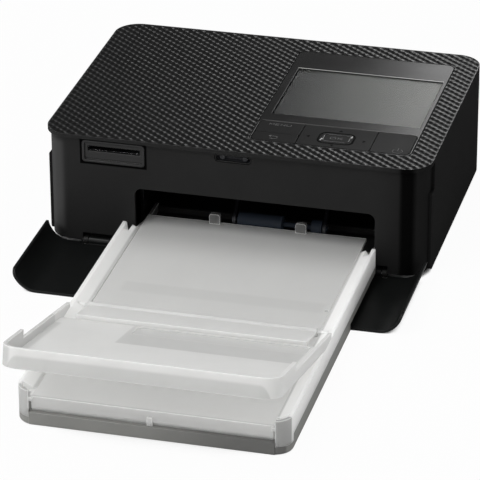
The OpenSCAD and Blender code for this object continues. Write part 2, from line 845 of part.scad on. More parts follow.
module ink_housing() {
  color("#3b3d42") place() {
    difference() {
      union() {
        for (c = [takeup, supply]) {
          difference() {
            rod_x(housing_x0, housing_x1, c, tube_r);
            rod_x(housing_x0 - 1, housing_x1 + 1, c, tube_in);
          }
          for (x = [left_in - 0.2, housing_x1 - 1.5]) {
            rod_x(x, x + 1.5, c, tube_in + 0.3);
          }
        }
        along_x(housing_x0, left_in - 4) {
          translate([takeup[0], spool_z - 4]) square([spool_gap, 8]);
        }
      }
      for (c = [takeup, supply]) {
        rod_x(housing_x0 - 1, housing_x1 + 1, c, shaft_r + run);
      }
      block(left_in + 3, housing_x1 - 3, takeup[0] + 2, supply[0] - 2, nip_z - 3, spool_z - 3);
      block(housing_x0 + 4, left_in - 6, takeup[0] - tube_r, supply[0] + tube_r,
            spool_z - tube_r - 1, spool_z - 4);
    }
  }
}

module spool(at, roll_r) {
  rod_x(left_in - 1.6, housing_x1 + 1.7, at, shaft_r);
  rod_x(left_in + 1.6, housing_x1 - 1.9, at, 4);
  rod_x(film_x[0], film_x[1], at, roll_r);
}

module supply_spool() {
  color("#26272b") place() spool(supply, supply_r);
}

module takeup_spool() {
  color("#26272b") place() spool(takeup, takeup_r);
}

// Where a film that comes from point p first touches a roll of radius r around c
function wrap_angle(p, c, r, side) =
  atan2(c[1] - p[1], c[0] - p[0]) + side * (asin((r + 0.1) / norm(c - p)) + 90);

// The film runs from one spool, under the print head, to the other
module ink_ribbon() {
  color("#5b2a4a") place() {
    b = [platen_y - 4.5, film_z];
    c = [platen_y + 4.5, film_z];
    up = [0, film_t];
    a = wrap_angle(b, takeup, takeup_r, 1);
    d = wrap_angle(c, supply, supply_r, -1);
    out = 0.05 + film_t;
    along_x(film_x[0], film_x[1]) polygon([
      takeup + (takeup_r + out) * [cos(a), sin(a)],
      b,
      c,
      supply + (supply_r + out) * [cos(d), sin(d)],
      supply + (supply_r + 0.05) * [cos(d), sin(d)],
      c + up,
      b + up,
      takeup + (takeup_r + 0.05) * [cos(a), sin(a)]
    ]);
  }
}

// Print mechanism

module plate_outline() {
  low = spool_z - tube_r - gap;
  translate([plate_y0, floor_top]) square([plate_y1 - plate_y0, low - floor_top]);
  translate([plate_y0, floor_top]) square([roof_y1 - plate_y0, slot_top - floor_top]);
  translate([supply[0] + tube_r + 1, floor_top]) {
    square([plate_y1 - supply[0] - tube_r - 1, mech_top - floor_top]);
  }
}

module shaft_holes(grow) {
  translate(platen) circle(shaft_r + grow);
  translate(capstan) circle(pin_r + 0.5 + grow);
  translate(pinch) circle(pin_r + grow);
  translate(pickup_pivot) circle(pin_r);
  translate(head_pivot) circle(pin_r);
}

module left_side_plate() {
  color("#55585c") place() along_x(plate_x0, left_in) difference() {
    plate_outline();
    shaft_holes(run);
  }
}

module right_side_plate() {
  color("#55585c") place() along_x(right_in, plate_x1) difference() {
    union() {
      plate_outline();
      translate([capstan[0] - 12, floor_top]) {
        square([plate_y1 - capstan[0] + 12, mech_top - floor_top]);
      }
    }
    shaft_holes(run);
    translate(idler) circle(pin_r);
    for (p = motor_posts) {
      translate(p) circle(pin_r);
    }
  }
}

// Roof of the cassette bay, behind the opening
module paper_guide() {
  color("#141416") place() {
    block(plate_x0, plate_x1, face_in, plate_y0, slot_top + 0.5, slot_top + 2);
    block(plate_x0, right_in, plate_y0, roof_y1, slot_top, slot_top + 2);
  }
}

module exit_chute() {
  color("#1a1a1c") place() {
    block(left_in, right_in, platen_y + platen_r + 4, back_y - wall, nip_z - 3, nip_z - 1.5);
    for (x = [left_in, (left_in + right_in) / 2, right_in - 1.5]) {
      block(x, x + 1.5, platen_y + 20, back_y - wall, floor_top, nip_z - 3);
    }
  }
}

module platen_roller() {
  color("#2b2c30") place() {
    rod_x(left_in + 2, right_in - 2, platen, platen_r);
    rod_x(plate_x0 - 1, gear_x + gear_t, platen, shaft_r);
  }
}

module capstan_shaft() {
  color("#9b9ea3") place() {
    rod_x(left_in + 1, right_in - 1, capstan, capstan_r);
    rod_x(plate_x0 - 1, gear_x + gear_t, capstan, pin_r + 0.5);
  }
}

module pinch_roller() {
  color("#2f3136") place() {
    rod_x(left_in + 1, right_in - 1, pinch, pinch_r);
    rod_x(plate_x0 - 1, plate_x1 + 0.3, pinch, pin_r);
  }
}

// A spur gear with straight-sided teeth; one tooth is centred on the angle phase
module gear(at, teeth, phase, bore) {
  pitch_r = gear_m * teeth / 2;
  root_r = pitch_r - 1.15 * gear_m;
  tip_r = pitch_r + 0.75 * gear_m;
  step = 360 / teeth;
  translate([gear_x, 0, 0]) rotate([90, 0, 90]) linear_extrude(gear_t) difference() {
    translate(at) rotate(phase) {
      circle(root_r);
      for (i = [0:teeth - 1]) {
        rotate(i * step) polygon([
          [root_r * 0.9, -root_r * sin(step * 0.29)],
          [root_r, -root_r * sin(step * 0.29)],
          [pitch_r, -pitch_r * sin(step * 0.22)],
          [tip_r, -tip_r * sin(step * 0.11)],
          [tip_r, tip_r * sin(step * 0.11)],
          [pitch_r, pitch_r * sin(step * 0.22)],
          [root_r, root_r * sin(step * 0.29)],
          [root_r * 0.9, root_r * sin(step * 0.29)]
        ]);
      }
    }
    translate(at) circle(bore);
  }
}

// Angle that puts a gear in mesh with the idler, seen from the idler in direction dir
function mesh_phase(dir, teeth) = dir + 180 + (dir * idler_teeth / 360 - 0.5) * 360 / teeth;
function angle_to(p) = atan2(p[1] - idler[1], p[0] - idler[0]);

module platen_gear() {
  color("#d8d6cc") place() {
    gear(platen, roller_teeth, mesh_phase(angle_to(platen), roller_teeth), shaft_r);
  }
}

module capstan_gear() {
  color("#d8d6cc") place() {
    gear(capstan, roller_teeth, mesh_phase(angle_to(capstan), roller_teeth), pin_r + 0.5);
  }
}

module idler_gear() {
  color("#d8d6cc") place() gear(idler, idler_teeth, 0, pin_r + run);
}

module idler_stud() {
  color("#9b9ea3") place() {
    rod_x(right_in, gear_x + gear_t + 0.3, idler, pin_r);
    rod_x(gear_x + gear_t + 0.3, gear_x + gear_t + 1, idler, pin_r + 1);
  }
}

module motor_pinion() {
  color("#c8b070") place() gear(pinion, pinion_teeth, mesh_phase(angle_to(pinion), pinion_teeth), 1);
}

module feed_motor() {
  color("#7d8085") place() {
    ear = 2.6;
    difference() {
      rod_x(motor_x, motor_x + 1 + motor_l, pinion, motor_r);
      rod_x(motor_x - 1, motor_x + 4, pinion, 1 + run);
    }
    difference() {
      block(motor_x, motor_x + 1, motor_posts[1][0] - ear, motor_posts[0][0] + ear,
            motor_posts[0][1] - ear, motor_posts[0][1] + ear);
      rod_x(motor_x - 1, motor_x + 2, pinion, motor_r - 1);
    }
    for (p = motor_posts) {
      rod_x(right_in, motor_x + 0.5, p, pin_r);
    }
  }
}

module arm_bar(a, b, r) {
  d = b - a;
  translate(a) circle(r);
  translate(b) circle(r);
  translate((a + b) / 2) rotate(atan2(d[1], d[0])) square([norm(d), 2 * r], center = true);
}

pickup_x = [slot_x - 14.5, slot_x + 30];

module pickup_arm() {
  color("#1d2430") place() {
    for (x = [pickup_x[0], pickup_x[1] - 1.5]) {
      along_x(x, x + 1.5) difference() {
        arm_bar(pickup, pickup_pivot, 2.6);
        translate(pickup) circle(1.2 + run);
        translate(pickup_pivot) circle(pin_r + run);
      }
    }
    mid = (pickup + 3 * pickup_pivot) / 4;
    along_x(pickup_x[0], pickup_x[1]) {
      translate(mid) rotate(atan2(14, 16.5)) translate([-5, 0.6]) square([6, 1.4]);
    }
  }
}

module pickup_rollers() {
  color("#1c2c40") place() {
    rod_x(pickup_x[0] - 0.6, pickup_x[1] + 0.6, pickup, 1.2);
    rod_x(slot_x - 11.7, slot_x + 9.3, pickup, pickup_r);
    rod_x(slot_x + 23.3, slot_x + 28.2, pickup, pickup_r);
  }
}

module arm_pivot_shafts() {
  color("#9b9ea3") place() {
    rod_x(plate_x0, plate_x1, pickup_pivot, pin_r);
    rod_x(plate_x0, plate_x1, head_pivot, pin_r);
  }
}

module head_arm() {
  color("#4a4d52") place() {
    bar_z = spool_z + tube_r + 0.7;
    for (x = [left_in + 9, right_in - 15]) {
      block(x, x + 6, platen_y - 2.5, head_pivot[0], bar_z, bar_z + 2);
      along_x(x, x + 6) difference() {
        arm_bar(head_pivot, [head_pivot[0], bar_z], 2);
        translate(head_pivot) circle(pin_r + run);
      }
    }
    block(left_in + 9, right_in - 9, supply[0] + 4, supply[0] + 8, bar_z, bar_z + 2);
  }
}

module thermal_head() {
  color("#c4c7cb") place() {
    block(left_in + 4.6, right_in - 5, platen_y - 2.5, platen_y + 4, head_z + 0.6, head_z + 7);
    block(left_in + 4.6, right_in - 5, platen_y - 1.5, platen_y + 1.5, head_z, head_z + 0.6);
  }
}

module heat_sink() {
  color("#a4a8ad") place() {
    z0 = head_z + 7;
    z1 = spool_z + tube_r + 0.7;
    block(left_in + 4.6, right_in - 5, platen_y - 2.5, platen_y + 4, z0, z0 + 3);
    for (i = [0:17]) {
      x = left_in + 4.6 + i * (right_in - left_in - 12.6) / 17;
      block(x, x + 3, platen_y - 2.5, platen_y + 4, z0, z1);
    }
  }
}

// Sockets at the back
dc_x = half_w - 17.6;
dc_z = floor_top + 9;
usb_z = dc_z + 13;
io_y = back_y - wall - 4.5;

module io_board() {
  color("#1f5a3a") place() {
    block(dc_x - 4.6, dc_x + 6.5, io_y, io_y + 1.4, floor_top, usb_z + 7);
  }
}

module dc_inlet() {
  color("#19191b") place() {
    difference() {
      block(dc_x - 5, dc_x + 5, io_y + 1.4, back_y - 0.3, dc_z - 5, dc_z + 5);
      rod_y(io_y + 2.6, back_y + 1, dc_x, dc_z, 3.2);
    }
    rod_y(io_y + 1.6, back_y - 0.8, dc_x, dc_z, 1);
  }
}

module usb_port() {
  color("#b8bbbf") place() {
    difference() {
      along_y(io_y + 1.4, back_y - 0.3) round_rect(dc_x - 4.5, dc_x + 4.5, usb_z - 1.7, usb_z + 1.7, 1.6);
      along_y(io_y + 2.4, back_y + 1) round_rect(dc_x - 4.2, dc_x + 4.2, usb_z - 1.4, usb_z + 1.4, 1.3);
    }
    block(dc_x - 3.2, dc_x + 3.2, io_y + 2, back_y - 1.5, usb_z - 0.35, usb_z + 0.35);
  }
}

// Paper cassette

// Plan outline of the cassette outside the printer: round at the front, square at the back
module tray_outline(x0, x1, y0, y1, r) {
  intersection() {
    round_rect(x0, x1, y0, y1 + 2 * r, r);
    translate([x0, y0]) square([x1 - x0, y1 - y0]);
  }
}

module cassette_base() {
  color("#83837f") place() {
    w = tray_wall;
    difference() {
      union() {
        translate([0, 0, tray_bottom]) linear_extrude(band_top - tray_bottom) difference() {
          tray_outline(tray_x0, tray_x1, tray_front, tray_back, tray_r);
          tray_outline(tray_x0 + w, tray_x1 - w, tray_front + w, tray_back - w, tray_r - w);
        }
        translate([0, 0, tray_floor]) linear_extrude(tray_floor_t) {
          tray_outline(tray_x0 + 0.5, tray_x1 - 0.5, tray_front + 0.5, tray_back, tray_r - 0.5);
        }
      }
      for (side = [0, 1]) {
        translate([side * 2 * tray_x, 0, post_foot]) mirror([side, 0, 0]) {
          linear_extrude(tray_top) corner_ring();
        }
      }
      block(bar_x0, bar_x1, tray_front - 1, tray_front + bar_t, tray_bottom - 1, band_top + 1);
      block(tongue_x0 - 0.4, tongue_x1 + 0.4, tray_back - w - 1, tray_back + 1, paper_z,
            band_top + 1);
      block(tray_x0 - 1, tray_x1 + 1, cover_free - 1.6, tray_back + 1, tray_bottom - 1, tray_relief);
    }
    block(tongue_x0, tongue_x1, tray_back - 1, tongue_back, tray_floor, paper_z);
    block(tongue_x0 + 1.5, tongue_x1 - 1.5, tongue_back - 1.5, tongue_back, tray_floor,
          paper_z + paper_h - 0.3);
  }
}

// Cross-section of the left rail: outer wall, sloping shoulder and the ledge under the deck
module rail_section() {
  w = tray_wall;
  polygon([
    [tray_x0, band_top],
    [tray_x0, tray_top],
    [tray_x0 + w, tray_top],
    [deck_x0 - 0.3, deck_top + 0.3],
    [deck_x0 - 0.3, ledge_z],
    [deck_x0 + rail_lip, ledge_z],
    [deck_x0 + rail_lip, ledge_z - 1.2],
    [tray_x0 + w, ledge_z - 1.2],
    [tray_x0 + w, band_top]
  ]);
}

module cassette_tray() {
  color("#dcdde0", 0.8) place() {
    w = tray_wall;
    front = tray_front;
    face = front + deck_front_in;
    difference() {
      union() {
        for (side = [0, 1]) {
          translate([side * 2 * tray_x, 0, 0]) mirror([side, 0, 0]) {
            along_y(front + tray_r, tray_back) rail_section();
            front_post();
          }
        }
        block(deck_x0 - 0.4, deck_x1 + 0.4, face, deck_end, ledge_z, deck_top);
        block(deck_x0 - 0.4, deck_x1 + 0.4, face, face + 2.2, bar_top + 1.3, deck_top);
        block(deck_x0 - 0.4, deck_x1 + 0.4, front + bar_t, face + 2.2, paper_z, deck_top);
        tongue_walls();
      }
      for (side = [0, 1]) {
        translate([side * 2 * tray_x, 0, 0]) mirror([side, 0, 0]) {
          along_y(tray_back - notch_l, tray_back + 1) polygon([
            [tray_x0 + w, tray_top + 1],
            [tray_x0 + w + 0.8, ledge_z],
            [deck_x0 - 1.4, tray_top + 1]
          ]);
        }
      }
      rod_x(tray_x0 + 0.8, tray_x1 - 0.8, [lid_axis_y, lid_axis_z], lid_rod_r);
      rod_x(deck_x0 - 1.4, deck_x1 + 1.4, [inner_axis_y, inner_axis_z], deck_t / 2 + run);
    }
    block(tray_x - 1.8, tray_x + 0.6, face - 0.8, face + 1, bar_top, deck_top - 3);
  }
}

// Plan of the wall around the cassette's front left corner
module corner_ring() {
  w = tray_wall;
  intersection() {
    difference() {
      tray_outline(tray_x0, tray_x1, tray_front, tray_back, tray_r);
      tray_outline(tray_x0 + w, tray_x1 - w, tray_front + w, tray_back, tray_r - w);
    }
    translate([tray_x0 - 1, tray_front - 1]) square([bar_x0 - tray_x0 + 0.9, tray_r + 1]);
  }
}

// Rounded corner post at the cassette's front, with a shoulder that meets the deck
module front_post() {
  translate([0, 0, post_foot]) linear_extrude(tray_top - post_foot) corner_ring();
  translate([0, 0, ledge_z - 0.4]) linear_extrude(1.6) intersection() {
    tray_outline(tray_x0 + 0.4, tray_x1 - 0.4, tray_front + 0.4, tray_back, tray_r - 0.4);
    translate([tray_x0, tray_front]) square([deck_x0 - tray_x0 + 0.2, tray_r + 1]);
  }
}

module tongue_walls() {
  for (x = [tongue_x0, tongue_x1 - 1.5]) {
    along_x(x, x + 1.5) polygon([
      [tray_back - 2, paper_z],
      [tongue_back, paper_z],
      [tongue_back, tongue_end],
      [tray_back + 17, tongue_end],
      [tray_back + eps, tongue_top],
      [tray_back - 2, tongue_top]
    ]);
  }
  block(tray_x0 + 0.4, tongue_x0 + 1.5, tray_back - tray_wall, tray_back, band_top, band_top + 1.5);
  block(tongue_x1 - 1.5, tray_x1 - 0.4, tray_back - tray_wall, tray_back, band_top, band_top + 1.5);
}

module cassette_front_bar() {
  color("#82837f") place() {
    block(bar_x0, bar_x1, tray_front, tray_front + bar_t, 0.2, bar_top);
  }
}

module inner_cover() {
  color("#e2e3e6", 0.75) place() {
    difference() {
      block(deck_x0, deck_x1, inner_axis_y, inner_back, ledge_z, deck_top);
      rod_z(deck_top - 0.8, deck_top + 1, deck_x1 - 1.4, inner_axis_y + 19.6, 0.9);
    }
    rod_x(deck_x0 - 1.2, deck_x1 + 1.2, [inner_axis_y, inner_axis_z], deck_t / 2);
    for (x = [slot_x - 24.2, slot_x + 17]) {
      along_y(inner_back - 2.4, inner_back) {
        round_rect(x, x + 5, deck_top - 1.3, deck_top + cover_tab_h, 1.2);
      }
    }
  }
}

// Height over the hinge axis, in the lid's own plane, at which the lid clears the side walls
function lid_clear(run_out) =
  (tray_top + gap - lid_axis_z - run_out * sin(lid_tilt)) / cos(lid_tilt);

// Outer lid: drawn flat with its hinge at the origin and the lid towards -Y, then tilted up
module outer_lid() {
  color("#dcdde1", 0.75) place() {
    low = -lid_drop;
    web = lid_t / 2;
    wide = lid_step + 2.4;
    translate([0, lid_axis_y, lid_axis_z]) rotate([-lid_tilt, 0, 0]) difference() {
      union() {
        translate([0, 0, low]) linear_extrude(lid_t) {
          tray_outline(tray_x0, tray_x1, -lid_l, -wide, tray_r);
        }
        translate([0, 0, low]) linear_extrude(lid_wall_h) lid_rim(-8);
        translate([0, 0, low]) linear_extrude(lid_fence_h) lid_rim(-lid_l + lid_wing_l);
        rod_x(lid_x0, lid_x1, [0, 0], lid_knuckle_r);
        block(lid_x0, lid_x1, -lid_step, 0, -web, web);
        block(lid_x0, lid_x1, -wide - eps, -lid_step, low, web);
        for (x = [tray_x - 40, tray_x + 36, tray_x + 43]) {
          block(x, x + 0.8, -lid_l + 1, -lid_l + 3.2, low + 1, low + lid_fence_h - 1.2);
        }
      }
      for (x = [tray_x0 - 1, lid_x1]) {
        along_x(x, x + lid_x0 - tray_x0 + 1) polygon([
          [0, lid_clear(0)],
          [-wide - 4, lid_clear(wide + 4)],
          [-wide - 4, low - 4],
          [0, low - 4]
        ]);
      }
      rod_x(tray_x0, tray_x1, [0, 0], lid_rod_r + run);
      slab(tray_x0 + lid_recess_in, tray_x1 - lid_recess_out, -wide - 1 - lid_recess_l, -wide - 1,
           low + 0.7, low + 9, 3);
    }
  }
}

module lid_rim(back) {
  difference() {
    tray_outline(tray_x0, tray_x1, -lid_l, back, tray_r);
    tray_outline(tray_x0 + lid_side_t, tray_x1 - lid_side_t, -lid_l + lid_side_t, back + 1,
                 tray_r - lid_side_t);
  }
}

module lid_hinge_rod() {
  color("#d9dadd") place() {
    rod_x(tray_x0 + 0.8, tray_x1 - 0.8, [lid_axis_y, lid_axis_z], lid_rod_r);
  }
}

base_tub();
front_panel();
left_panel();
right_panel();
rear_panel();
top_cover();
rubber_feet();
case_screws();
control_panel();
lcd_glass();
lcd_module();
menu_key();
back_key();
nav_key();
ok_key();
power_key();
main_board();
key_switches();
card_bezel();
card_socket();
latch_recess();
front_cover();
cover_hinge_pins();
ink_door();
door_hinge_pin();
eject_slider();
ink_housing();
supply_spool();
takeup_spool();
ink_ribbon();
left_side_plate();
right_side_plate();
paper_guide();
exit_chute();
platen_roller();
platen_gear();
capstan_shaft();
capstan_gear();
pinch_roller();
idler_gear();
idler_stud();
feed_motor();
motor_pinion();
pickup_arm();
pickup_rollers();
arm_pivot_shafts();
head_arm();
thermal_head();
heat_sink();
io_board();
dc_inlet();
usb_port();
cassette_base();
cassette_tray();
cassette_front_bar();
inner_cover();
outer_lid();
lid_hinge_rod();
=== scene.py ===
import json
import math

import bpy
import numpy as np
from mathutils import Matrix, Vector


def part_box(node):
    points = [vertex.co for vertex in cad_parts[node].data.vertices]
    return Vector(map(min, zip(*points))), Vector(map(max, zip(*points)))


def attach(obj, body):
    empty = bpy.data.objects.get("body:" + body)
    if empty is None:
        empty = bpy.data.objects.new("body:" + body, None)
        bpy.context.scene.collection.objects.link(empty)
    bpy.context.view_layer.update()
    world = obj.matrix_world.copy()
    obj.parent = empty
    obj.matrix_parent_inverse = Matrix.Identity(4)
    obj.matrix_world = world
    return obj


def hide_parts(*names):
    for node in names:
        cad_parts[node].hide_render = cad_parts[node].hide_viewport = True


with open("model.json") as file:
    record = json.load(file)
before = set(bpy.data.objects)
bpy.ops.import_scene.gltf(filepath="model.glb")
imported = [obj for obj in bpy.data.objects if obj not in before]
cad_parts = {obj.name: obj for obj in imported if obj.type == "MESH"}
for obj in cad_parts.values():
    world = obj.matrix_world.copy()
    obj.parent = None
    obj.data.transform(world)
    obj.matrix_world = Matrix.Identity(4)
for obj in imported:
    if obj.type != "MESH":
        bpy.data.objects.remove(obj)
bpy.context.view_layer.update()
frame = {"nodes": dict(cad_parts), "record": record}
nodes = frame["nodes"]
mm = 0.001
bodyOf = {name: body for body, names in frame["record"]["behaviour"]["bodies"].items() for name in names}
slotOf = {part["node"]: part["material_slot"] for part in frame["record"]["subparts"]}
print("frame loaded:", len(nodes), "nodes")


def boxMm(name):  # a node's box in millimetres: x0, x1, y0, y1, z0, z1
    low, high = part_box(name)
    return [v / mm for pair in zip(low, high) for v in pair]


def meshFromArrays(name, points, faceSets, smooth=True):  # points in mm, each face set an array of equal rows
    corners = np.concatenate([f.ravel() for f in faceSets]).astype(np.int32)
    sizes = np.concatenate([np.full(len(f), f.shape[1]) for f in faceSets])
    starts = np.concatenate([[0], np.cumsum(sizes)[:-1]]).astype(np.int32)
    mesh = bpy.data.meshes.new(name)
    mesh.vertices.add(len(points))
    mesh.vertices.foreach_set("co", (np.asarray(points, float) * mm).astype(np.float32).ravel())
    mesh.loops.add(len(corners))
    mesh.loops.foreach_set("vertex_index", corners)
    mesh.polygons.add(len(sizes))
    mesh.polygons.foreach_set("loop_start", starts)
    mesh.polygons.foreach_set("use_smooth", np.full(len(sizes), smooth))
    mesh.update(calc_edges=True)
    return mesh


def addPiece(name, mesh, body):
    piece = bpy.data.objects.new(name, mesh)
    bpy.context.scene.collection.objects.link(piece)
    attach(piece, body)
    return piece


def put(tree, kind, inputs=None, **settings):  # one shader node, with its settings and its plain or linked inputs
    node = tree.nodes.new(kind)
    for key, value in settings.items():
        setattr(node, key, value)
    for key, value in (inputs or {}).items():
        if isinstance(value, bpy.types.NodeSocket):
            tree.links.new(value, node.inputs[key])
        else:
            node.inputs[key].default_value = value
    return node


def newGroup(name, inputs, outputs):  # a shader node group with float inputs and typed outputs
    group = bpy.data.node_groups.new(name, "ShaderNodeTree")
    for label, value in inputs.items():
        socket = group.interface.new_socket(label, in_out="INPUT", socket_type="NodeSocketFloat")
        socket.default_value = value
    for label, kind in outputs.items():
        group.interface.new_socket(label, in_out="OUTPUT", socket_type=kind)
    return group, put(group, "NodeGroupInput").outputs, put(group, "NodeGroupOutput")


def buildGrainGroup():  # fine moulded grain and slow cloudy unevenness, both in object space
    group, given, result = newGroup("mouldedGrain", {"Grain": 3000.0, "Cloud": 40.0},
                                    {"Height": "NodeSocketFloat", "Patches": "NodeSocketFloat"})
    place = put(group, "ShaderNodeTexCoord").outputs["Object"]
    fine = put(group, "ShaderNodeTexNoise", {"Vector": place, "Scale": given["Grain"], "Detail": 2.0,
                                             "Roughness": 0.6}, noise_dimensions="3D")
    slow = put(group, "ShaderNodeTexNoise", {"Vector": place, "Scale": given["Cloud"], "Detail": 3.0,
                                             "Roughness": 0.55, "Distortion": 0.4})
    patches = put(group, "ShaderNodeMapRange", {"Value": slow.outputs["Fac"], "From Min": 0.3, "From Max": 0.7})
    group.links.new(fine.outputs["Fac"], result.inputs["Height"])
    group.links.new(patches.outputs["Result"], result.inputs["Patches"])
    return group


def buildEdgeGroup():  # rounds sharp edges to the eye and gives a mask along them
    group, given, result = newGroup("softEdges", {"Radius": 0.0004},
                                    {"Normal": "NodeSocketVector", "Edge": "NodeSocketFloat"})
    bevel = put(group, "ShaderNodeBevel", {"Radius": given["Radius"]}, samples=6)
    flat = put(group, "ShaderNodeNewGeometry")
    dot = put(group, "ShaderNodeVectorMath", {0: bevel.outputs["Normal"], 1: flat.outputs["Normal"]},
              operation="DOT_PRODUCT")
    edge = put(group, "ShaderNodeMapRange", {"Value": dot.outputs["Value"], "From Min": 0.995, "From Max": 0.85})
    group.links.new(bevel.outputs["Normal"], result.inputs["Normal"])
    group.links.new(edge.outputs["Result"], result.inputs["Edge"])
    return group


def buildBrushGroup():  # fine lines drawn along X, as on ground or rolled metal
    group, given, result = newGroup("brushLines", {"Across": 4000.0, "Along": 60.0},
                                    {"Height": "NodeSocketFloat"})
    place = put(group, "ShaderNodeTexCoord").outputs["Object"]
    stretch = put(group, "ShaderNodeCombineXYZ", {"X": given["Along"], "Y": given["Across"], "Z": given["Across"]})
    scaled = put(group, "ShaderNodeVectorMath", {0: place, 1: stretch.outputs["Vector"]}, operation="MULTIPLY")
    lines = put(group, "ShaderNodeTexNoise", {"Vector": scaled.outputs["Vector"], "Scale": 1.0, "Detail": 2.0})
    group.links.new(lines.outputs["Fac"], result.inputs["Height"])
    return group


grainGroup = buildGrainGroup()
edgeGroup = buildEdgeGroup()
brushGroup = buildBrushGroup()


def useGroup(tree, group, inputs=None):
    node = tree.nodes.new("ShaderNodeGroup")
    node.node_tree = group
    for key, value in (inputs or {}).items():
        node.inputs[key].default_value = value
    return node.outputs


def startMaterial(name, colour):
    material = bpy.data.materials.new(name)
    material.use_nodes = True
    material.diffuse_color = (*colour, 1)
    tree = material.node_tree
    return material, tree, tree.nodes["Principled BSDF"]


def mixColours(tree, factor, first, second):
    node = put(tree, "ShaderNodeMix", {"Factor": factor}, data_type="RGBA")
    for socket, value in ((node.inputs[6], first), (node.inputs[7], second)):
        if isinstance(value, bpy.types.NodeSocket):
            tree.links.new(value, socket)
        else:
            socket.default_value = (*value, 1)
    return node.outputs[2]


def scaleValue(tree, value, low, high):  # maps 0..1 on to low..high
    return put(tree, "ShaderNodeMapRange", {"Value": value, "To Min": low, "To Max": high}).outputs["Result"]


def boxMask(tree, sides, soft):  # 1 inside x0..x1, y0..y1, z0..z1 (mm, object space), falling softly to 0 outside
    place = put(tree, "ShaderNodeTexCoord").outputs["Object"]
    axes = put(tree, "ShaderNodeSeparateXYZ", {"Vector": place}).outputs
    softs = soft if isinstance(soft, tuple) else (soft, soft, soft)
    mask = None
    for i in range(len(sides) // 2):
        for edge, sign in ((sides[2 * i], 1), (sides[2 * i + 1], -1)):
            start, end = (edge - sign * softs[i] / 2) * mm, (edge + sign * softs[i] / 2) * mm
            step = put(tree, "ShaderNodeMapRange", {"Value": axes["XYZ"[i]], "From Min": start, "From Max": end},
                       interpolation_type="SMOOTHSTEP").outputs["Result"]
            mask = step if mask is None else put(tree, "ShaderNodeMath", {0: mask, 1: step},
                                                 operation="MULTIPLY").outputs["Value"]
    return mask


def addMasked(tree, mask, amount, base):  # base + mask * amount, kept within 0..1
    total = put(tree, "ShaderNodeMath", {0: mask, 1: amount, 2: base}, operation="MULTIPLY_ADD", use_clamp=True)
    return total.outputs["Value"]


def plasticFinish(name, values):  # moulded plastic: grain, cloudy sheen and lighter edges
    # areas: box, softness and colour of each repainted stretch, mostly painted highlights and painted shade; dull:
    # box, softness, added roughness and the share of the coat taken away; rim: colour of the painted highlight where
    # the mesh's own rim attribute is 1
    v = {"colour": (0.02, 0.02, 0.02), "cloudLift": 1.25, "edgeHighlight": None, "edgeLift": 1.8, "edgeLeast": 0.004,
         "rough": 0.4, "roughSpread": 0.08, "grain": 2600.0, "grainDepth": 0.03, "grainSize": 0.0002, "cloud": 40.0,
         "edge": 0.0004, "spec": 0.3, "coat": 0.0, "coatRough": 0.5, "areas": (), "dull": (), "rim": None, **values}
    material, tree, shader = startMaterial(name, v["colour"])
    grain = useGroup(tree, grainGroup, {"Grain": v["grain"], "Cloud": v["cloud"]})
    edges = useGroup(tree, edgeGroup, {"Radius": v["edge"]})
    # painted highlight: the edges are lifted to a lighter colour along the bevel mask
    edgeHighlight = v["edgeHighlight"] or [c * v["edgeLift"] + v["edgeLeast"] for c in v["colour"]]
    body = mixColours(tree, grain["Patches"], v["colour"], [c * v["cloudLift"] for c in v["colour"]])
    colour = mixColours(tree, edges["Edge"], body, edgeHighlight)
    for sides, soft, areaColour in v["areas"]:
        colour = mixColours(tree, boxMask(tree, sides, soft), colour, areaColour)
    if v["rim"]:
        rim = put(tree, "ShaderNodeAttribute", attribute_name="rim").outputs["Fac"]
        colour = mixColours(tree, rim, colour, v["rim"])
    tree.links.new(colour, shader.inputs["Base Color"])
    shader.inputs["Specular IOR Level"].default_value = v["spec"]
    shader.inputs["Coat Weight"].default_value = v["coat"]
    shader.inputs["Coat Roughness"].default_value = v["coatRough"]
    rough = scaleValue(tree, grain["Patches"], v["rough"] - v["roughSpread"], v["rough"] + v["roughSpread"])
    coat = v["coat"]
    for sides, soft, rougher, share in v["dull"]:
        mask = boxMask(tree, sides, soft)
        rough = addMasked(tree, mask, rougher, rough)
        coat = addMasked(tree, mask, -share * v["coat"], coat)
    if v["dull"]:
        tree.links.new(coat, shader.inputs["Coat Weight"])
    tree.links.new(rough, shader.inputs["Roughness"])
    bump = put(tree, "ShaderNodeBump", {"Strength": v["grainDepth"], "Distance": v["grainSize"],
                                        "Height": grain["Height"], "Normal": edges["Normal"]})
    tree.links.new(bump.outputs["Normal"], shader.inputs["Normal"])
    return material


def metalFinish(name, values):  # ground metal: fine lines along X, darker in patches
    v = {"colour": (0.5, 0.5, 0.52), "rough": 0.32, "across": 4000.0, "along": 60.0, "depth": 0.1,
         "lineSize": 0.00005, "cloud": 60.0, "edge": 0.0003, "worn": 0.82, "bright": 1.3, "smoother": 0.1,
         "rougher": 0.12, **values}
    material, tree, shader = startMaterial(name, v["colour"])
    lines = useGroup(tree, brushGroup, {"Across": v["across"], "Along": v["along"]})
    grain = useGroup(tree, grainGroup, {"Cloud": v["cloud"]})
    edges = useGroup(tree, edgeGroup, {"Radius": v["edge"]})
    body = mixColours(tree, grain["Patches"], v["colour"], [c * v["worn"] for c in v["colour"]])
    colour = mixColours(tree, edges["Edge"], body, [min(1, c * v["bright"]) for c in v["colour"]])
    tree.links.new(colour, shader.inputs["Base Color"])
    rough = scaleValue(tree, lines["Height"], v["rough"] - v["smoother"], v["rough"] + v["rougher"])
    tree.links.new(rough, shader.inputs["Roughness"])
    bump = put(tree, "ShaderNodeBump", {"Strength": v["depth"], "Distance": v["lineSize"],
                                        "Height": lines["Height"], "Normal": edges["Normal"]})
    tree.links.new(bump.outputs["Normal"], shader.inputs["Normal"])
    shader.inputs["Metallic"].default_value = 1.0
    return material


def rubberFinish(name, values):  # rubber: dull, with a fine pebbled skin
    return plasticFinish(name, {"rough": 0.62, "roughSpread": 0.1, "grain": 1800.0, "grainDepth": 0.12, "spec": 0.25,
                                **values})


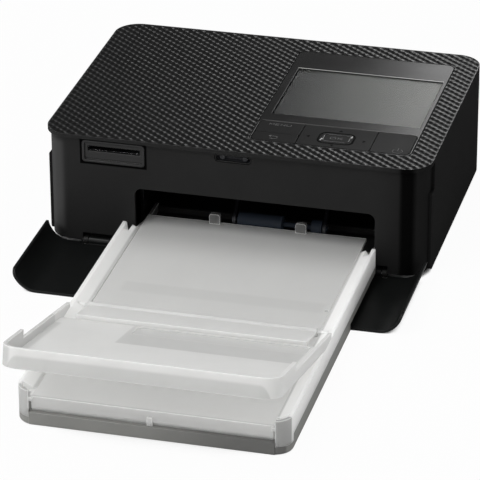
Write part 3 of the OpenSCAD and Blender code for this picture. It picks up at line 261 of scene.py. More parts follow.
def passLight(tree, shader, v):  # lets shadow and bounced light through, and a little of what lies behind
    path = put(tree, "ShaderNodeLightPath").outputs
    shadow = put(tree, "ShaderNodeMath", {0: path["Is Shadow Ray"], 1: v["shadowPass"]}, operation="MULTIPLY")
    bounce = put(tree, "ShaderNodeMath", {0: path["Is Diffuse Ray"], 1: v["bouncePass"]}, operation="MULTIPLY")
    most = put(tree, "ShaderNodeMath", {0: shadow.outputs["Value"], 1: bounce.outputs["Value"]},
               operation="MAXIMUM")
    least = put(tree, "ShaderNodeMath", {0: most.outputs["Value"], 1: v["seen"]}, operation="MAXIMUM")
    solid = put(tree, "ShaderNodeMath", {0: 1.0, 1: least.outputs["Value"]}, operation="SUBTRACT")
    tree.links.new(solid.outputs["Value"], shader.inputs["Alpha"])


def frostFinish(name, values):  # frosted clear plastic: cloudy, paler on its edges, letting light through
    # bands: box, softness, share and tone of each stretch of painted light and shade
    v = {"colour": (0.62, 0.62, 0.61), "rough": 0.42, "edgeHighlight": (0.82, 0.82, 0.81), "shade": (0.5, 0.5, 0.5),
         "shadeShare": 0.25, "grain": 1500.0, "grainDepth": 0.05, "grainSize": 0.0002, "cloud": 22.0,
         "edge": 0.0005, "shadowPass": 0.8, "bouncePass": 0.45, "seen": 0.1, "warmth": 0.985, "bands": (),
         "ior": 1.45, "spec": 0.35, "glowDepth": 0.004, "smoother": 0.05, "rougher": 0.08, **values}
    material, tree, shader = startMaterial(name, v["colour"])
    grain = useGroup(tree, grainGroup, {"Grain": v["grain"], "Cloud": v["cloud"]})
    edges = useGroup(tree, edgeGroup, {"Radius": v["edge"]})
    clouds = scaleValue(tree, grain["Patches"], 0.0, v["shadeShare"])
    body = mixColours(tree, clouds, v["colour"], v["shade"])
    for sides, soft, share, tone in v["bands"]:
        mask = scaleValue(tree, boxMask(tree, sides, soft), 0.0, share)
        body = mixColours(tree, mask, body, (tone, tone, tone * v["warmth"]))
    # painted highlight: the edges are paler along the bevel mask
    colour = mixColours(tree, edges["Edge"], body, v["edgeHighlight"])
    tree.links.new(colour, shader.inputs["Base Color"])
    rough = scaleValue(tree, grain["Patches"], v["rough"] - v["smoother"], v["rough"] + v["rougher"])
    tree.links.new(rough, shader.inputs["Roughness"])
    bump = put(tree, "ShaderNodeBump", {"Strength": v["grainDepth"], "Distance": v["grainSize"],
                                        "Height": grain["Height"], "Normal": edges["Normal"]})
    tree.links.new(bump.outputs["Normal"], shader.inputs["Normal"])
    passLight(tree, shader, v)
    shader.inputs["IOR"].default_value = v["ior"]
    shader.inputs["Specular IOR Level"].default_value = v["spec"]
    shader.inputs["Subsurface Weight"].default_value = 1.0
    shader.inputs["Subsurface Radius"].default_value = (1.0, 1.0, 1.0)
    shader.inputs["Subsurface Scale"].default_value = v["glowDepth"]
    return material


def screenFinish(name, values):  # switched-off display: grey that lightens to the right and a little to the rear
    # painted reflection: the display's grey lightens to the right and a little to the rear
    v = {"dark": (0.008, 0.008, 0.0068), "paintedReflection": (0.19, 0.188, 0.174), "across": 0.85, "back": 0.15, "curve": 1.4,
         "grain": 9000.0, "grainShare": 0.006, "cloud": 30.0, "rough": 0.5, "roughSpread": 0.1, "spec": 0.1,
         **values}
    material, tree, shader = startMaterial(name, v["dark"])
    x0, x1, y0, y1 = [side * mm for side in boxMm("lcd_glass")[:4]]
    place = put(tree, "ShaderNodeTexCoord").outputs["Object"]
    axes = put(tree, "ShaderNodeSeparateXYZ", {"Vector": place}).outputs
    across = put(tree, "ShaderNodeMapRange", {"Value": axes["X"], "From Min": x0, "From Max": x1}).outputs["Result"]
    back = put(tree, "ShaderNodeMapRange", {"Value": axes["Y"], "From Min": y0, "From Max": y1}).outputs["Result"]
    reflectionBlend = put(tree, "ShaderNodeMath", {0: across, 1: v["across"]}, operation="MULTIPLY").outputs["Value"]
    reflectionBlend = put(tree, "ShaderNodeMath", {0: back, 1: v["back"], 2: reflectionBlend}, operation="MULTIPLY_ADD")
    curve = put(tree, "ShaderNodeMath", {0: reflectionBlend.outputs["Value"], 1: v["curve"]}, operation="POWER")
    grain = useGroup(tree, grainGroup, {"Grain": v["grain"], "Cloud": v["cloud"]})
    wave = put(tree, "ShaderNodeMath", {0: grain["Height"], 1: v["grainShare"], 2: curve.outputs["Value"]},
               operation="MULTIPLY_ADD")
    colour = mixColours(tree, wave.outputs["Value"], v["dark"], v["paintedReflection"])
    tree.links.new(colour, shader.inputs["Base Color"])
    rough = scaleValue(tree, grain["Patches"], v["rough"] - v["roughSpread"], v["rough"])
    tree.links.new(rough, shader.inputs["Roughness"])
    shader.inputs["Specular IOR Level"].default_value = v["spec"]
    return material


def glassFinish(name, values):  # clear cover glass with a trace of smears
    v = {"colour": (0.92, 0.93, 0.94), "smear": 0.99, "rough": 0.26, "roughSpread": 0.004, "grain": 500.0,
         "cloud": 25.0, "spec": 0.15, "ior": 1.06, **values}
    material, tree, shader = startMaterial(name, v["colour"])
    grain = useGroup(tree, grainGroup, {"Grain": v["grain"], "Cloud": v["cloud"]})
    colour = mixColours(tree, grain["Patches"], v["colour"], [c * v["smear"] for c in v["colour"]])
    tree.links.new(colour, shader.inputs["Base Color"])
    rough = scaleValue(tree, grain["Patches"], v["rough"], v["rough"] + v["roughSpread"])
    tree.links.new(rough, shader.inputs["Roughness"])
    shader.inputs["Specular IOR Level"].default_value = v["spec"]
    shader.inputs["Transmission Weight"].default_value = 1.0
    shader.inputs["IOR"].default_value = v["ior"]
    return material


def boardFinish(name, values):  # circuit board: solder mask over a faint pattern of tracks
    v = {"colour": (0.012, 0.09, 0.05), "track": (0.02, 0.15, 0.08), "tracks": 180.0, "gap": 0.03,
         "rough": (0.25, 0.4), **values}
    material, tree, shader = startMaterial(name, v["colour"])
    place = put(tree, "ShaderNodeTexCoord").outputs["Object"]
    cells = put(tree, "ShaderNodeTexBrick", {"Vector": place, "Scale": v["tracks"], "Mortar Size": v["gap"],
                                             "Color1": (0, 0, 0, 1), "Color2": (0.2, 0.2, 0.2, 1),
                                             "Mortar": (1, 1, 1, 1)})
    colour = mixColours(tree, cells.outputs["Color"], v["colour"], v["track"])
    tree.links.new(colour, shader.inputs["Base Color"])
    grain = useGroup(tree, grainGroup)
    tree.links.new(scaleValue(tree, grain["Patches"], *v["rough"]), shader.inputs["Roughness"])
    return material


# boxes of the repainted stretches, mostly painted highlights and painted shade, each from the boxes of the pieces it
# lies on; all in mm
far = 999.0  # past every side
caseSide = boxMm("right_panel")[1]
frontEnd = boxMm("front_panel")[3] + 18.04
# painted highlight: a lighter band down the left front corner
leftPaintedHighlight = (-caseSide + 3.0, -caseSide + 9.5, -far, frontEnd, 8.0, 53.0)
leftEdge = (-caseSide - 9.0, -caseSide + 2.5, -far, far)
# painted shade: a darker band near the right front corner
rightPaintedShade = (caseSide - 12.8, caseSide - 6.6, -far, frontEnd)
rightSide = (caseSide - 14.0, caseSide + 40.0, -far, far)
cardX0, cardX1, _, _, cardZ0, cardZ1 = boxMm("card_bezel")
cardRim = 1.1
cardArea = (cardX0 - cardRim, cardX1 + cardRim, -far, frontEnd, cardZ0 - cardRim, cardZ1 + cardRim)
caseAreas = ((leftPaintedHighlight, 3.6, (0.036, 0.036, 0.036)),
             (cardArea, 0.5, (0.001, 0.001, 0.001)),
             (rightPaintedShade, 2.6, (0.002, 0.002, 0.002)))
caseDull = ((rightSide, (28.0, 1.0, 1.0), 0.4, 0.95), (cardArea, 0.5, 0.4, 0.95), (rightPaintedShade, 2.6, 0.4, 0.9),
            (leftEdge, 1.5, 0.4, 0.9))

panelX0, panelX1 = boxMm("control_panel")[:2]
glassX0, glassX1, _, glassY1 = boxMm("lcd_glass")[:4]
keyBack = boxMm("nav_key")[3]
# painted highlights: a light line along the rear edge of the display glass and one between the keys and the display
panelPaintedHighlights = (((glassX0 - 0.3, glassX1 + 0.3, glassY1 + 0.05, glassY1 + 0.6), 0.25, (0.5, 0.5, 0.48)),
              ((panelX0 + 1.5, panelX1 - 1.5, keyBack + 0.4, keyBack + 0.85), 0.3, (0.07, 0.07, 0.068)))

armX0, armX1, armY0, armY1, armZ0, _ = boxMm("pickup_arm")
latchX0, latchX1, latchY0, _, latchZ0, _ = boxMm("latch_recess")
# painted shade: darker round the pickup arm and round the latch, inside the recess
recessPaintedShade = (((armX0 - 5.2, armX1 + 5.3, armY0 - 0.36, armY1 + 0.94, armZ0 + 4.7, far), 2.0, (0.004, 0.004, 0.005)),
               ((latchX0 - 0.75, latchX1 + 0.75, latchY0 - 1.56, latchY0 + 1.04, latchZ0 - 0.65, far), 0.4,
                (0.002, 0.002, 0.002)))

trayY0, trayY1, trayZ0 = boxMm("cassette_tray")[2:5]
deckX0, deckX1, deckY0, deckY1, deckZ0, _ = boxMm("inner_cover")
bandX1 = deckX1 + 0.2
railX0, railX1 = deckX0 - 0.3, deckX1 + 0.3  # the rails lie past these
deckTop = deckZ0 + 1.8
postEnd = trayY0 + 5.55
frostPaintedLightAndShade = (
    # the deck: a faint band of painted shade across it, two stretches of painted shade darkening to the rear, painted
    # shade on its tabs and a painted highlight on its rear edge
    ((deckX0 + 9.9, deckX1 - 4.1, deckY0 + 17.64, deckY0 + 26.64), 3.0, 0.06, 0.0),
    ((railX0, bandX1, deckY1 - 26.66, trayY1 - 0.26, deckZ0 - 0.5, far), (1.0, 34.0, 1.0), 0.3, 0.0),
    ((railX0, bandX1, deckY1 - 5.66, trayY1 - 0.26, deckZ0 - 0.5, far), (1.0, 12.0, 1.0), 0.35, 0.0),
    ((railX0, bandX1, deckY1 - 3.66, deckY1 + 0.54, deckTop, far), 0.3, 0.6, 0.04),
    ((railX0, bandX1, deckY1 - 0.51, deckY1 + 0.54, deckZ0 - 0.5, deckTop), 0.2, 0.9, 0.95),
    # the tray: painted light on the left rail, painted shade on the left and right posts, painted light on the right
    # rail and on the floor under the lid, and painted shade on what lies inside the printer
    ((-far, railX0, postEnd, far), 1.0, 0.7, 0.9),
    ((-far, railX0, -far, postEnd), 1.0, 0.45, 0.25),
    ((railX1, far, -far, postEnd), 1.0, 0.55, 0.2),
    ((railX1, far, postEnd, far), 1.0, 0.9, 0.95),
    ((railX0, railX1, trayY0 + 2.55, deckY0 - 3.36, trayZ0 - 3.6, deckTop - 0.3), 1.0, 0.85, 0.92),
    ((-far, far, deckY1 + 0.54, far), 1.0, 0.9, 0.02))
lidX0, lidX1, lidY0, lidY1 = boxMm("outer_lid")[:4]
# painted shade: a shallow band by the hinge, the front wall and the left wall are darkened
lidPaintedShade = (  # a shallow band by the hinge, the front wall and the left wall
    ((deckX0 + 28.4, lidX1 - 5.6, lidY0 + 52.76, lidY1 - 22.56), 1.2, 0.2, 0.0),
    ((-far, far, -far, lidY0 + 1.36), 0.4, 0.4, 0.3),
    ((-far, lidX0 + 4.4, lidY0 + 0.76, lidY1 - 31.06), 2.0, 0.4, 0.3))
barX0, _, barY0, barY1, _, barZ1 = boxMm("cassette_front_bar")
# painted shade: the front bar darkens towards the right, and what lies inside the printer is near black
basePaintedShade = (((barX0 + 66.05, far, barY0 - 1.26, barY1 + 0.54, -far, barZ1 + 1.1), (60.0, 1.0, 1.0),
              (0.13, 0.13, 0.125)),
             ((-far, far, deckY1 + 0.34, far), 2.0, (0.012, 0.012, 0.012)))

finishes = {
    "case_black": (plasticFinish, {"colour": (0.009, 0.009, 0.009), "rough": 0.6, "edge": 0.0005, "spec": 0.02,
                                   "coat": 0.36, "edgeHighlight": (0.016, 0.016, 0.016), "areas": caseAreas,
                                   "dull": caseDull}),
    # top_texture's rim colour is a painted highlight along the top's outer edge
    "top_texture": (plasticFinish, {"colour": (0.004, 0.004, 0.004), "rough": 0.3, "roughSpread": 0.04,
                                    "spec": 0.45, "rim": (0.03, 0.03, 0.03)}),
    "panel_gloss": (plasticFinish, {"colour": (0.006, 0.006, 0.006), "rough": 0.2, "roughSpread": 0.02,
                                    "grainDepth": 0.0, "spec": 0.45, "areas": panelPaintedHighlights}),
    "key_black": (plasticFinish, {"colour": (0.0045, 0.0045, 0.0045), "rough": 0.42, "edge": 0.0003,
                                  "grainDepth": 0.01, "spec": 0.16}),
    "mark_grey": (plasticFinish, {"colour": (0.08, 0.08, 0.08), "rough": 0.5, "grainDepth": 0.01}),
    "mark_dark": (plasticFinish, {"colour": (0.0015, 0.0015, 0.0015), "rough": 0.7, "grainDepth": 0.01,
                                  "spec": 0.05}),
    "glint": (plasticFinish, {"colour": (0.32, 0.32, 0.32), "rough": 0.2, "grainDepth": 0.0, "spec": 0.6}),
    "rim_gloss": (plasticFinish, {"colour": (0.02, 0.02, 0.02), "rough": 0.14, "grainDepth": 0.0, "spec": 0.8}),
    "screen_glass": (glassFinish, {}),
    "screen_body": (screenFinish, {}),
    "foot_rubber": (rubberFinish, {"colour": (0.02, 0.02, 0.02)}),
    "screw_steel": (metalFinish, {"colour": (0.4, 0.4, 0.42)}),
    "board_green": (boardFinish, {}),
    "contact_metal": (metalFinish, {"colour": (0.55, 0.55, 0.57), "rough": 0.22}),
    "recess_grey": (plasticFinish, {"colour": (0.035, 0.036, 0.04), "rough": 0.3, "areas": recessPaintedShade}),
    "cover_black": (plasticFinish, {"colour": (0.005, 0.0055, 0.0054), "rough": 0.42, "edge": 0.0005, "spec": 0.2}),
    "eject_orange": (plasticFinish, {"colour": (0.55, 0.16, 0.02)}),
    "ink_shell": (plasticFinish, {"colour": (0.05, 0.052, 0.055), "rough": 0.45}),
    "ribbon_film": (plasticFinish, {"colour": (0.05, 0.03, 0.06), "rough": 0.12, "grainDepth": 0.0, "spec": 0.6}),
    "plate_steel": (metalFinish, {"colour": (0.05, 0.051, 0.054), "rough": 0.42}),
    "shaft_steel": (metalFinish, {"colour": (0.5, 0.51, 0.53), "rough": 0.22}),
    "roller_rubber": (rubberFinish, {"colour": (0.012, 0.017, 0.026)}),
    "gear_white": (plasticFinish, {"colour": (0.6, 0.59, 0.55), "rough": 0.4}),
    "pinion_brass": (metalFinish, {"colour": (0.7, 0.52, 0.22), "rough": 0.28}),
    "motor_can": (metalFinish, {"colour": (0.36, 0.37, 0.39), "rough": 0.3}),
    "head_alloy": (metalFinish, {"colour": (0.6, 0.61, 0.62), "rough": 0.4}),
    "guide_black": (plasticFinish, {"colour": (0.01, 0.01, 0.011), "rough": 0.5}),
    "cassette_frost": (frostFinish, {"colour": (0.6, 0.6, 0.59), "bands": frostPaintedLightAndShade}),
    "lid_frost": (frostFinish, {"colour": (0.66, 0.66, 0.65), "seen": 0.2, "edgeHighlight": (0.74, 0.74, 0.73),
                                "bands": lidPaintedShade}),
    "cassette_grey": (plasticFinish, {"colour": (0.2, 0.2, 0.19), "rough": 0.45, "edge": 0.0004, "cloud": 20.0,
                                      "areas": basePaintedShade}),
}
materials = {name: build(name, values) for name, (build, values) in finishes.items()}
for name, node in nodes.items():
    node.data.materials.clear()
    node.data.materials.append(materials[slotOf[name]])
print("materials:", len(materials))


# narrow: the power that narrows the crests; reach, probe, passes: how border points are moved on to the outline
topSkin = {"pitchX": 5.25, "pitchY": 4.3, "depth": 0.6, "slant": 0.07, "narrow": 1.5, "stepsX": 9, "stepsY": 8,
           "corner": 12.0, "holeCorner": 4.0, "holeGap": 0.3, "thick": 2.2, "rim": 0.22, "fade": 0.35,
           "rimWidth": 0.35, "reach": 0.62, "probe": 0.001, "keep": 0.02, "passes": 3}


def roundedDistance(x, y, x0, x1, y0, y1, r):
    # distance from a rounded rectangle: the length of what lies beyond its inner box, less the radius
    dx = np.abs(x - (x0 + x1) / 2) - (x1 - x0) / 2 + r
    dy = np.abs(y - (y0 + y1) / 2) - (y1 - y0) / 2 + r
    return np.hypot(np.maximum(dx, 0), np.maximum(dy, 0)) + np.minimum(np.maximum(dx, dy), 0) - r


def buildTopSkin(v):
    # height = two crossed cosine waves, whose crests meet in a diamond lattice, raised to a power that narrows
    # them; the grid is cut by the distance from the outline, and its border points are moved on to the outline
    # along the distance's slope
    x0, x1, y0, y1, _, z1 = boxMm("top_cover")
    panel, gap = boxMm("control_panel"), v["holeGap"]
    hole = (panel[0] - gap, panel[1] + gap, panel[2] - gap, panel[3] + gap, v["holeCorner"])
    outer = (x0, x1, y0, y1, v["corner"])
    stepX, stepY = v["pitchX"] / v["stepsX"], v["pitchY"] / v["stepsY"]
    xs = np.arange(x0 - stepX, x1 + 2 * stepX, stepX)
    ys = np.arange(y0 - stepY, y1 + 2 * stepY, stepY)
    x, y = [a.ravel() for a in np.meshgrid(xs, ys)]

    def inside(px, py):
        return np.maximum(roundedDistance(px, py, *outer), -roundedDistance(px, py, *hole))

    nudge = v["probe"]
    for _ in range(v["passes"]):
        d = inside(x, y)
        near = np.abs(d) < v["reach"] * max(stepX, stepY)
        gx = (inside(x + nudge, y) - inside(x - nudge, y)) / (2 * nudge)
        gy = (inside(x, y + nudge) - inside(x, y - nudge)) / (2 * nudge)
        size = np.maximum(np.hypot(gx, gy), 1e-6)
        x = np.where(near, x - d * gx / size, x)
        y = np.where(near, y - d * gy / size, y)
    d = inside(x, y)
    kept = (d < v["keep"]).reshape(len(ys), len(xs))
    ids = np.arange(len(x)).reshape(len(ys), len(xs))
    a, b, c, e = ids[:-1, :-1], ids[:-1, 1:], ids[1:, 1:], ids[1:, :-1]
    ka, kb, kc, ke = kept[:-1, :-1], kept[:-1, 1:], kept[1:, 1:], kept[1:, :-1]
    full = ka & kb & kc & ke
    quads = np.stack([a[full], b[full], c[full], e[full]], 1)
    triangles = []
    for corners, keep in (((a, b, c), ka & kb & kc & ~ke), ((b, c, e), kb & kc & ke & ~ka),
                          ((c, e, a), kc & ke & ka & ~kb), ((e, a, b), ke & ka & kb & ~kc)):
        triangles.append(np.stack([k[keep] for k in corners], 1))
    triangles = np.concatenate(triangles)
    across, along = 2 * np.pi * x / v["pitchX"], 2 * np.pi * y / v["pitchY"]
    wave = (0.5 + v["slant"]) * np.cos(across + along) + (0.5 - v["slant"]) * np.cos(across - along)
    fade = np.clip(-d / v["fade"], 0, 1)
    fade = fade * fade * (3 - 2 * fade)
    z = z1 - v["rim"] * (1 - fade) - v["depth"] * (1 - (0.5 + 0.5 * wave) ** v["narrow"]) * fade
    top = np.stack([x, y, z], 1)
    bottom = np.stack([x, y, np.full(len(x), z1 - v["thick"])], 1)
    n = len(x)
    edges = np.concatenate([np.stack([f[:, i], f[:, (i + 1) % f.shape[1]]], 1)
                            for f in (quads, triangles) for i in range(f.shape[1])])
    alone = ~np.isin(edges[:, 0] * n + edges[:, 1], edges[:, 1] * n + edges[:, 0])
    start, end = edges[alone].T
    walls = np.stack([end, start, start + n, end + n], 1)
    faces = [quads, triangles, quads[:, ::-1] + n, triangles[:, ::-1] + n, walls]
    points = np.concatenate([top, bottom])
    used = np.unique(np.concatenate([f.ravel() for f in faces]))
    renumber = np.zeros(len(points), int)
    renumber[used] = np.arange(len(used))
    mesh = meshFromArrays("topSkin", points[used], [renumber[f] for f in faces])
    # rim attribute: 1 at the top's outer outline, where the colour is lifted into a painted highlight, 0 on the
    # underside
    rimHighlight = np.clip(1 + roundedDistance(x, y, *outer) / v["rimWidth"], 0, 1)
    mesh.attributes.new("rim", "FLOAT", "POINT").data.foreach_set(
        "value", np.concatenate([rimHighlight, rimHighlight * 0])[used].astype(np.float32))
    mesh.materials.append(materials["top_texture"])
    mesh.materials.append(materials["case_black"])
    return mesh, len(walls)


topMesh, wallCount = buildTopSkin(topSkin)
smooth = np.ones(len(topMesh.polygons), bool)
smooth[-wallCount:] = False
topMesh.polygons.foreach_set("use_smooth", smooth)
topMesh.polygons.foreach_set("material_index", (~smooth).astype(np.int32))
top = addPiece("topSkin", topMesh, "case")
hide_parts("top_cover")
print("top skin:", len(topMesh.polygons), "faces")


# tight: the smallest cosine used at a corner, so that a sharp one isn't drawn out far
marks = {"z": boxMm("nav_key")[5] + 0.02, "width": 0.34, "height": 0.12, "steps": 6, "tight": 0.45}
powerArc = {"x": 73.0, "y": 44.1, "radius": 2.3, "start": 130, "stop": 410, "step": 20}


def arcLine(v):  # points along a circle, counted in degrees
    turns = [math.radians(t) for t in range(v["start"], v["stop"] + 1, v["step"])]
    return [(v["x"] + v["radius"] * math.cos(t), v["y"] + v["radius"] * math.sin(t)) for t in turns]


def roundLoop(name, grow, radius, count=8):  # a rounded outline round a key, count points to each corner
    x0, x1, y0, y1 = boxMm(name)[:4]
    turn = np.linspace(0, np.pi / 2, count)
    loop = []
    for i, (cx, cy) in enumerate(((x1, y1), (x0, y1), (x0, y0), (x1, y0))):
        ix = cx + (grow - radius) * (1 if cx == x1 else -1)
        iy = cy + (grow - radius) * (1 if cy == y1 else -1)
        loop += list(zip(ix + radius * np.cos(turn + i * np.pi / 2), iy + radius * np.sin(turn + i * np.pi / 2)))
    return loop + loop[:1]


# name: the key it rides on, finish, open or closed lines in mm, and where they aren't the usual ones width and height
markPaths = {
    "menuMark": ("menu_key", "mark_grey", [
        [(9.4, 58.3), (9.4, 60.0), (10.4, 58.9), (11.4, 60.0), (11.4, 58.3)],
        [(13.9, 58.3), (12.3, 58.3), (12.3, 60.0), (13.9, 60.0)], [(12.3, 59.15), (13.6, 59.15)],
        [(14.8, 58.3), (14.8, 60.0), (16.6, 58.3), (16.6, 60.0)],
        [(17.5, 60.0), (17.5, 58.5), (17.9, 58.3), (19.1, 58.3), (19.5, 58.5), (19.5, 60.0)]]),
    "backMark": ("back_key", "mark_grey", [
        [(13.2, 47.4), (12.2, 46.5), (13.2, 45.6)],
        [(12.2, 46.5), (15.4, 46.5), (16.2, 45.8), (16.2, 44.7), (15.4, 43.9), (12.9, 43.9)]]),
    "okMark": ("ok_key", "mark_grey", [
        [(40.1, 50.0), (40.7, 49.7), (42.0, 49.7), (42.6, 50.0), (42.6, 51.5), (42.0, 51.8), (40.7, 51.8),
         (40.1, 51.5), (40.1, 50.0)],
        [(43.7, 49.7), (43.7, 51.8)], [(45.7, 51.8), (43.8, 50.6)], [(44.4, 51.0), (45.9, 49.7)]]),
    "powerMark": ("power_key", "mark_grey", [arcLine(powerArc), [(73.0, 44.4), (73.0, 47.0)]]),
    # painted shade: a dark loop on the nav key where the gap round the OK key lies
    "okMoat": ("nav_key", "mark_dark", [roundLoop("ok_key", 0.85, 3.4)], 0.8, 0.05),
    "okRing": ("ok_key", "rim_gloss", [roundLoop("ok_key", -1.3, 1.6)], 0.5, 0.2),
    "okGlints": ("ok_key", "glint", [
        [(35.9, 47.4), (36.2, 48.4), (36.3, 49.6)], [(49.7, 52.6), (49.6, 54.2)]], 0.8, 0.24),
    "upMark": ("nav_key", "mark_dark", [[(42.7, 58.8), (43.3, 59.7), (43.9, 58.8), (42.7, 58.8)]]),
    "downMark": ("nav_key", "mark_dark", [[(41.8, 43.6), (42.4, 42.7), (43.0, 43.6), (41.8, 43.6)]]),
    "rightMark": ("nav_key", "mark_dark", [[(55.6, 49.9), (56.6, 50.6), (55.6, 51.3), (55.6, 49.9)]]),
    "leftMark": ("nav_key", "mark_dark", [[(30.2, 49.9), (29.2, 50.6), (30.2, 51.3), (30.2, 49.9)]]),
}


def buildMark(name, lines, v):
    # each line is a path in the plane z; its section is a half ellipse carried along the path's normal:
    # point = path + normal * (width / 2) * cos(t), height * sin(t), with t from 0 to pi, closed below by a flat
    points, faces = [], []
    count = 0
    for line in lines:
        path = np.array(line, float)
        closed = len(path) > 2 and np.allclose(path[0], path[-1])
        path = path[:-1] if closed else path
        before = np.roll(path, 1, 0) if closed else np.vstack([2 * path[0] - path[1], path[:-1]])
        after = np.roll(path, -1, 0) if closed else np.vstack([path[1:], 2 * path[-1] - path[-2]])
        first, second = path - before, after - path
        first /= np.hypot(*first.T)[:, None]
        second /= np.hypot(*second.T)[:, None]
        normal = np.stack([-(first + second)[:, 1], (first + second)[:, 0]], 1)
        normal /= np.hypot(*normal.T)[:, None] + 1e-9
        reach = 1 / np.maximum(v["tight"], np.abs(normal[:, 0] * -first[:, 1] + normal[:, 1] * first[:, 0]))
        t = np.linspace(0, np.pi, v["steps"])
        side = (v["width"] / 2) * np.cos(t)[None, :] * reach[:, None]
        rise = v["z"] + v["height"] * np.sin(t) + 0 * side
        ring = np.dstack([path[:, :1] + normal[:, :1] * side, path[:, 1:] + normal[:, 1:] * side, rise])
        rows, cols = ring.shape[:2]
        ids = count + np.arange(rows * cols).reshape(rows, cols)
        ends = ids if not closed else np.vstack([ids, ids[:1]])
        around = np.hstack([ends, ends[:, :1]])
        sides = [around[:-1, :-1], around[:-1, 1:], around[1:, 1:], around[1:, :-1]]
        faces.append(np.stack(sides, -1).reshape(-1, 4))
        if not closed:
            head, tail = ids[0], ids[-1]
            faces.append(np.stack([np.full(cols - 2, head[0]), head[2:], head[1:-1]], 1))
            faces.append(np.stack([np.full(cols - 2, tail[0]), tail[1:-1], tail[2:]], 1))
        points.append(ring.reshape(-1, 3))
        count += rows * cols
    return meshFromArrays(name, np.concatenate(points), faces, False)


for name, (key, finish, lines, *size) in markPaths.items():
    mesh = buildMark(name, lines, {**marks, **dict(zip(("width", "height"), size))})
    mesh.materials.append(materials[finish])
    addPiece(name, mesh, bodyOf[key])
print("key marks:", len(markPaths))


shot = {"target": (26.19, -60.74, 57.6), "azimuth": 14.69, "elevation": 26.68, "roll": -0.32, "distance": 1457.82,
        "lens": 253.4, "sensor": 36.0, "clipEnd": 50.0}


def buildCamera(v):
    a, e, r = [math.radians(v[k]) for k in ("azimuth", "elevation", "roll")]
    back = Vector((math.sin(a) * math.cos(e), -math.cos(a) * math.cos(e), math.sin(e)))
    right = Vector((math.cos(a), math.sin(a), 0))
    up = back.cross(right)
    turned = right * math.cos(r) + up * math.sin(r)
    camera = bpy.data.objects.new("camera", bpy.data.cameras.new("camera"))
    camera.data.lens = v["lens"]
    camera.data.sensor_width = v["sensor"]
    camera.data.clip_end = v["clipEnd"]
    place = Matrix((turned, back.cross(turned), back)).transposed().to_4x4()
    place.translation = (Vector(v["target"]) + back * v["distance"]) * mm
    camera.matrix_world = place
    bpy.context.scene.collection.objects.link(camera)
    bpy.context.scene.camera = camera


buildCamera(shot)

# ambient, reflect: the room's light, plain and as reflections see it; floorShow: how far an open floor glows white
# hidden, open: shares of clear sky, within skyReach, at which that glow starts and is full
studio = {"ambient": 0.6, "reflect": 0.1, "size": 4000.0, "floor": 0.6, "floorRough": 0.9, "floorShow": 0.96,
          "floorReflect": 0.1, "skyReach": 0.05, "skySamples": 16, "hidden": 0.2, "open": 0.36}


def rayKinds(tree):  # 1 for what the camera or a clear piece sees, and 1 for what a reflection sees
    path = put(tree, "ShaderNodeLightPath").outputs
    first = put(tree, "ShaderNodeMath", {0: path["Is Camera Ray"], 1: path["Is Transmission Ray"]},
                operation="MAXIMUM").outputs["Value"]
    return first, path["Is Glossy Ray"]


def buildWorld(v):  # even white room
    world = bpy.data.worlds.new("softRoom")
    world.use_nodes = True
    bpy.context.scene.world = world
    tree = world.node_tree
    seen, glossy = rayKinds(tree)
    strength = put(tree, "ShaderNodeMapRange", {"Value": glossy, "To Min": v["ambient"], "To Max": v["reflect"]})
    strength = put(tree, "ShaderNodeMath", {0: strength.outputs["Result"], 1: seen}, operation="MAXIMUM")
    shade = tree.nodes["Background"]
    shade.inputs["Color"].default_value = (1, 1, 1, 1)
    tree.links.new(strength.outputs["Value"], shade.inputs["Strength"])


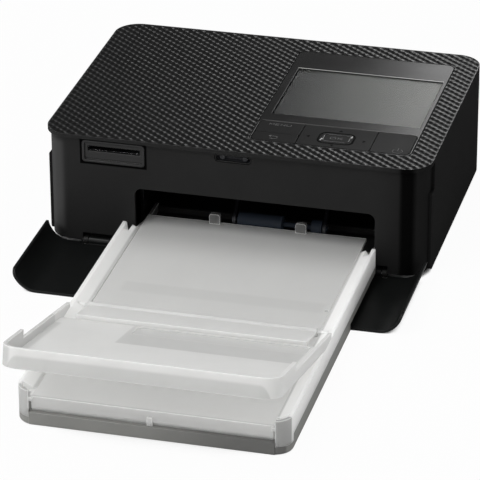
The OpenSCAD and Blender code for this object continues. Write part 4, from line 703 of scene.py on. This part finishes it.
def buildFloor(v):
    size = v["size"]
    points = np.array([[-size, -size, 0], [size, -size, 0], [size, size, 0], [-size, size, 0]])
    mesh = meshFromArrays("floor", points, [np.array([[0, 1, 2, 3]])], False)
    floor = bpy.data.objects.new("floor", mesh)
    bpy.context.scene.collection.objects.link(floor)
    material, tree, shader = startMaterial("paleFloor", [v["floor"]] * 3)
    shader.inputs["Base Color"].default_value = (v["floor"], v["floor"], v["floor"], 1)
    shader.inputs["Roughness"].default_value = v["floorRough"]
    shader.inputs["Specular IOR Level"].default_value = 0.0
    seen, glossy = rayKinds(tree)
    glow = put(tree, "ShaderNodeEmission", {"Color": (1, 1, 1, 1), "Strength": 1.0})
    share = put(tree, "ShaderNodeMath", {0: glossy, 1: v["floorReflect"]}, operation="MULTIPLY")
    share = put(tree, "ShaderNodeMath", {0: seen, 1: share.outputs["Value"]}, operation="MAXIMUM")
    sky = put(tree, "ShaderNodeAmbientOcclusion", {"Distance": v["skyReach"]},
              samples=v["skySamples"]).outputs["AO"]
    clear = put(tree, "ShaderNodeMapRange", {"Value": sky, "From Min": v["hidden"], "From Max": v["open"],
                                             "To Max": v["floorShow"]}, interpolation_type="SMOOTHSTEP")
    share = put(tree, "ShaderNodeMath", {0: share.outputs["Value"], 1: clear.outputs["Result"]},
                operation="MULTIPLY")
    mix = put(tree, "ShaderNodeMixShader", {0: share.outputs["Value"], 1: shader.outputs["BSDF"],
                                            2: glow.outputs["Emission"]})
    tree.links.new(mix.outputs["Shader"], tree.nodes["Material Output"].inputs["Surface"])
    mesh.materials.append(material)


lamps = {  # place, aim and size in mm, power in watts
    "key": {"place": (-420, -560, 1050), "aim": (0, -60, 20), "size": (700, 700), "power": 8.5},
    "front": {"place": (-350, -1000, 260), "aim": (0, -60, 20), "size": (500, 300), "power": 1.2},
    "back": {"place": (205, 1150, 640), "aim": (40, 100, 57), "size": (760, 320), "power": 2.0},
    "low": {"place": (270, 1150, 210), "aim": (40, 60, 57), "size": (760, 140), "power": 1.4},
    "side": {"place": (-900, -250, 250), "aim": (-90, 20, 35), "size": (160, 500), "power": 1.1},
    "right": {"place": (950, -450, 350), "aim": (60, -60, 20), "size": (400, 400), "power": 1.0},
}


def buildLamps(lamps):
    for name, v in lamps.items():
        data = bpy.data.lights.new(name + "Lamp", "AREA")
        data.shape = "RECTANGLE"
        data.size, data.size_y = [side * mm for side in v["size"]]
        data.energy = v["power"]
        lamp = bpy.data.objects.new(name + "Lamp", data)
        place, aim = Vector(v["place"]) * mm, Vector(v["aim"]) * mm
        lamp.matrix_world = Matrix.Translation(place) @ (aim - place).to_track_quat("-Z", "Y").to_matrix().to_4x4()
        bpy.context.scene.collection.objects.link(lamp)


buildWorld(studio)
buildFloor(studio)
buildLamps(lamps)
bpy.context.scene.view_settings.view_transform = "Standard"
print("camera, floor and lamps in place")
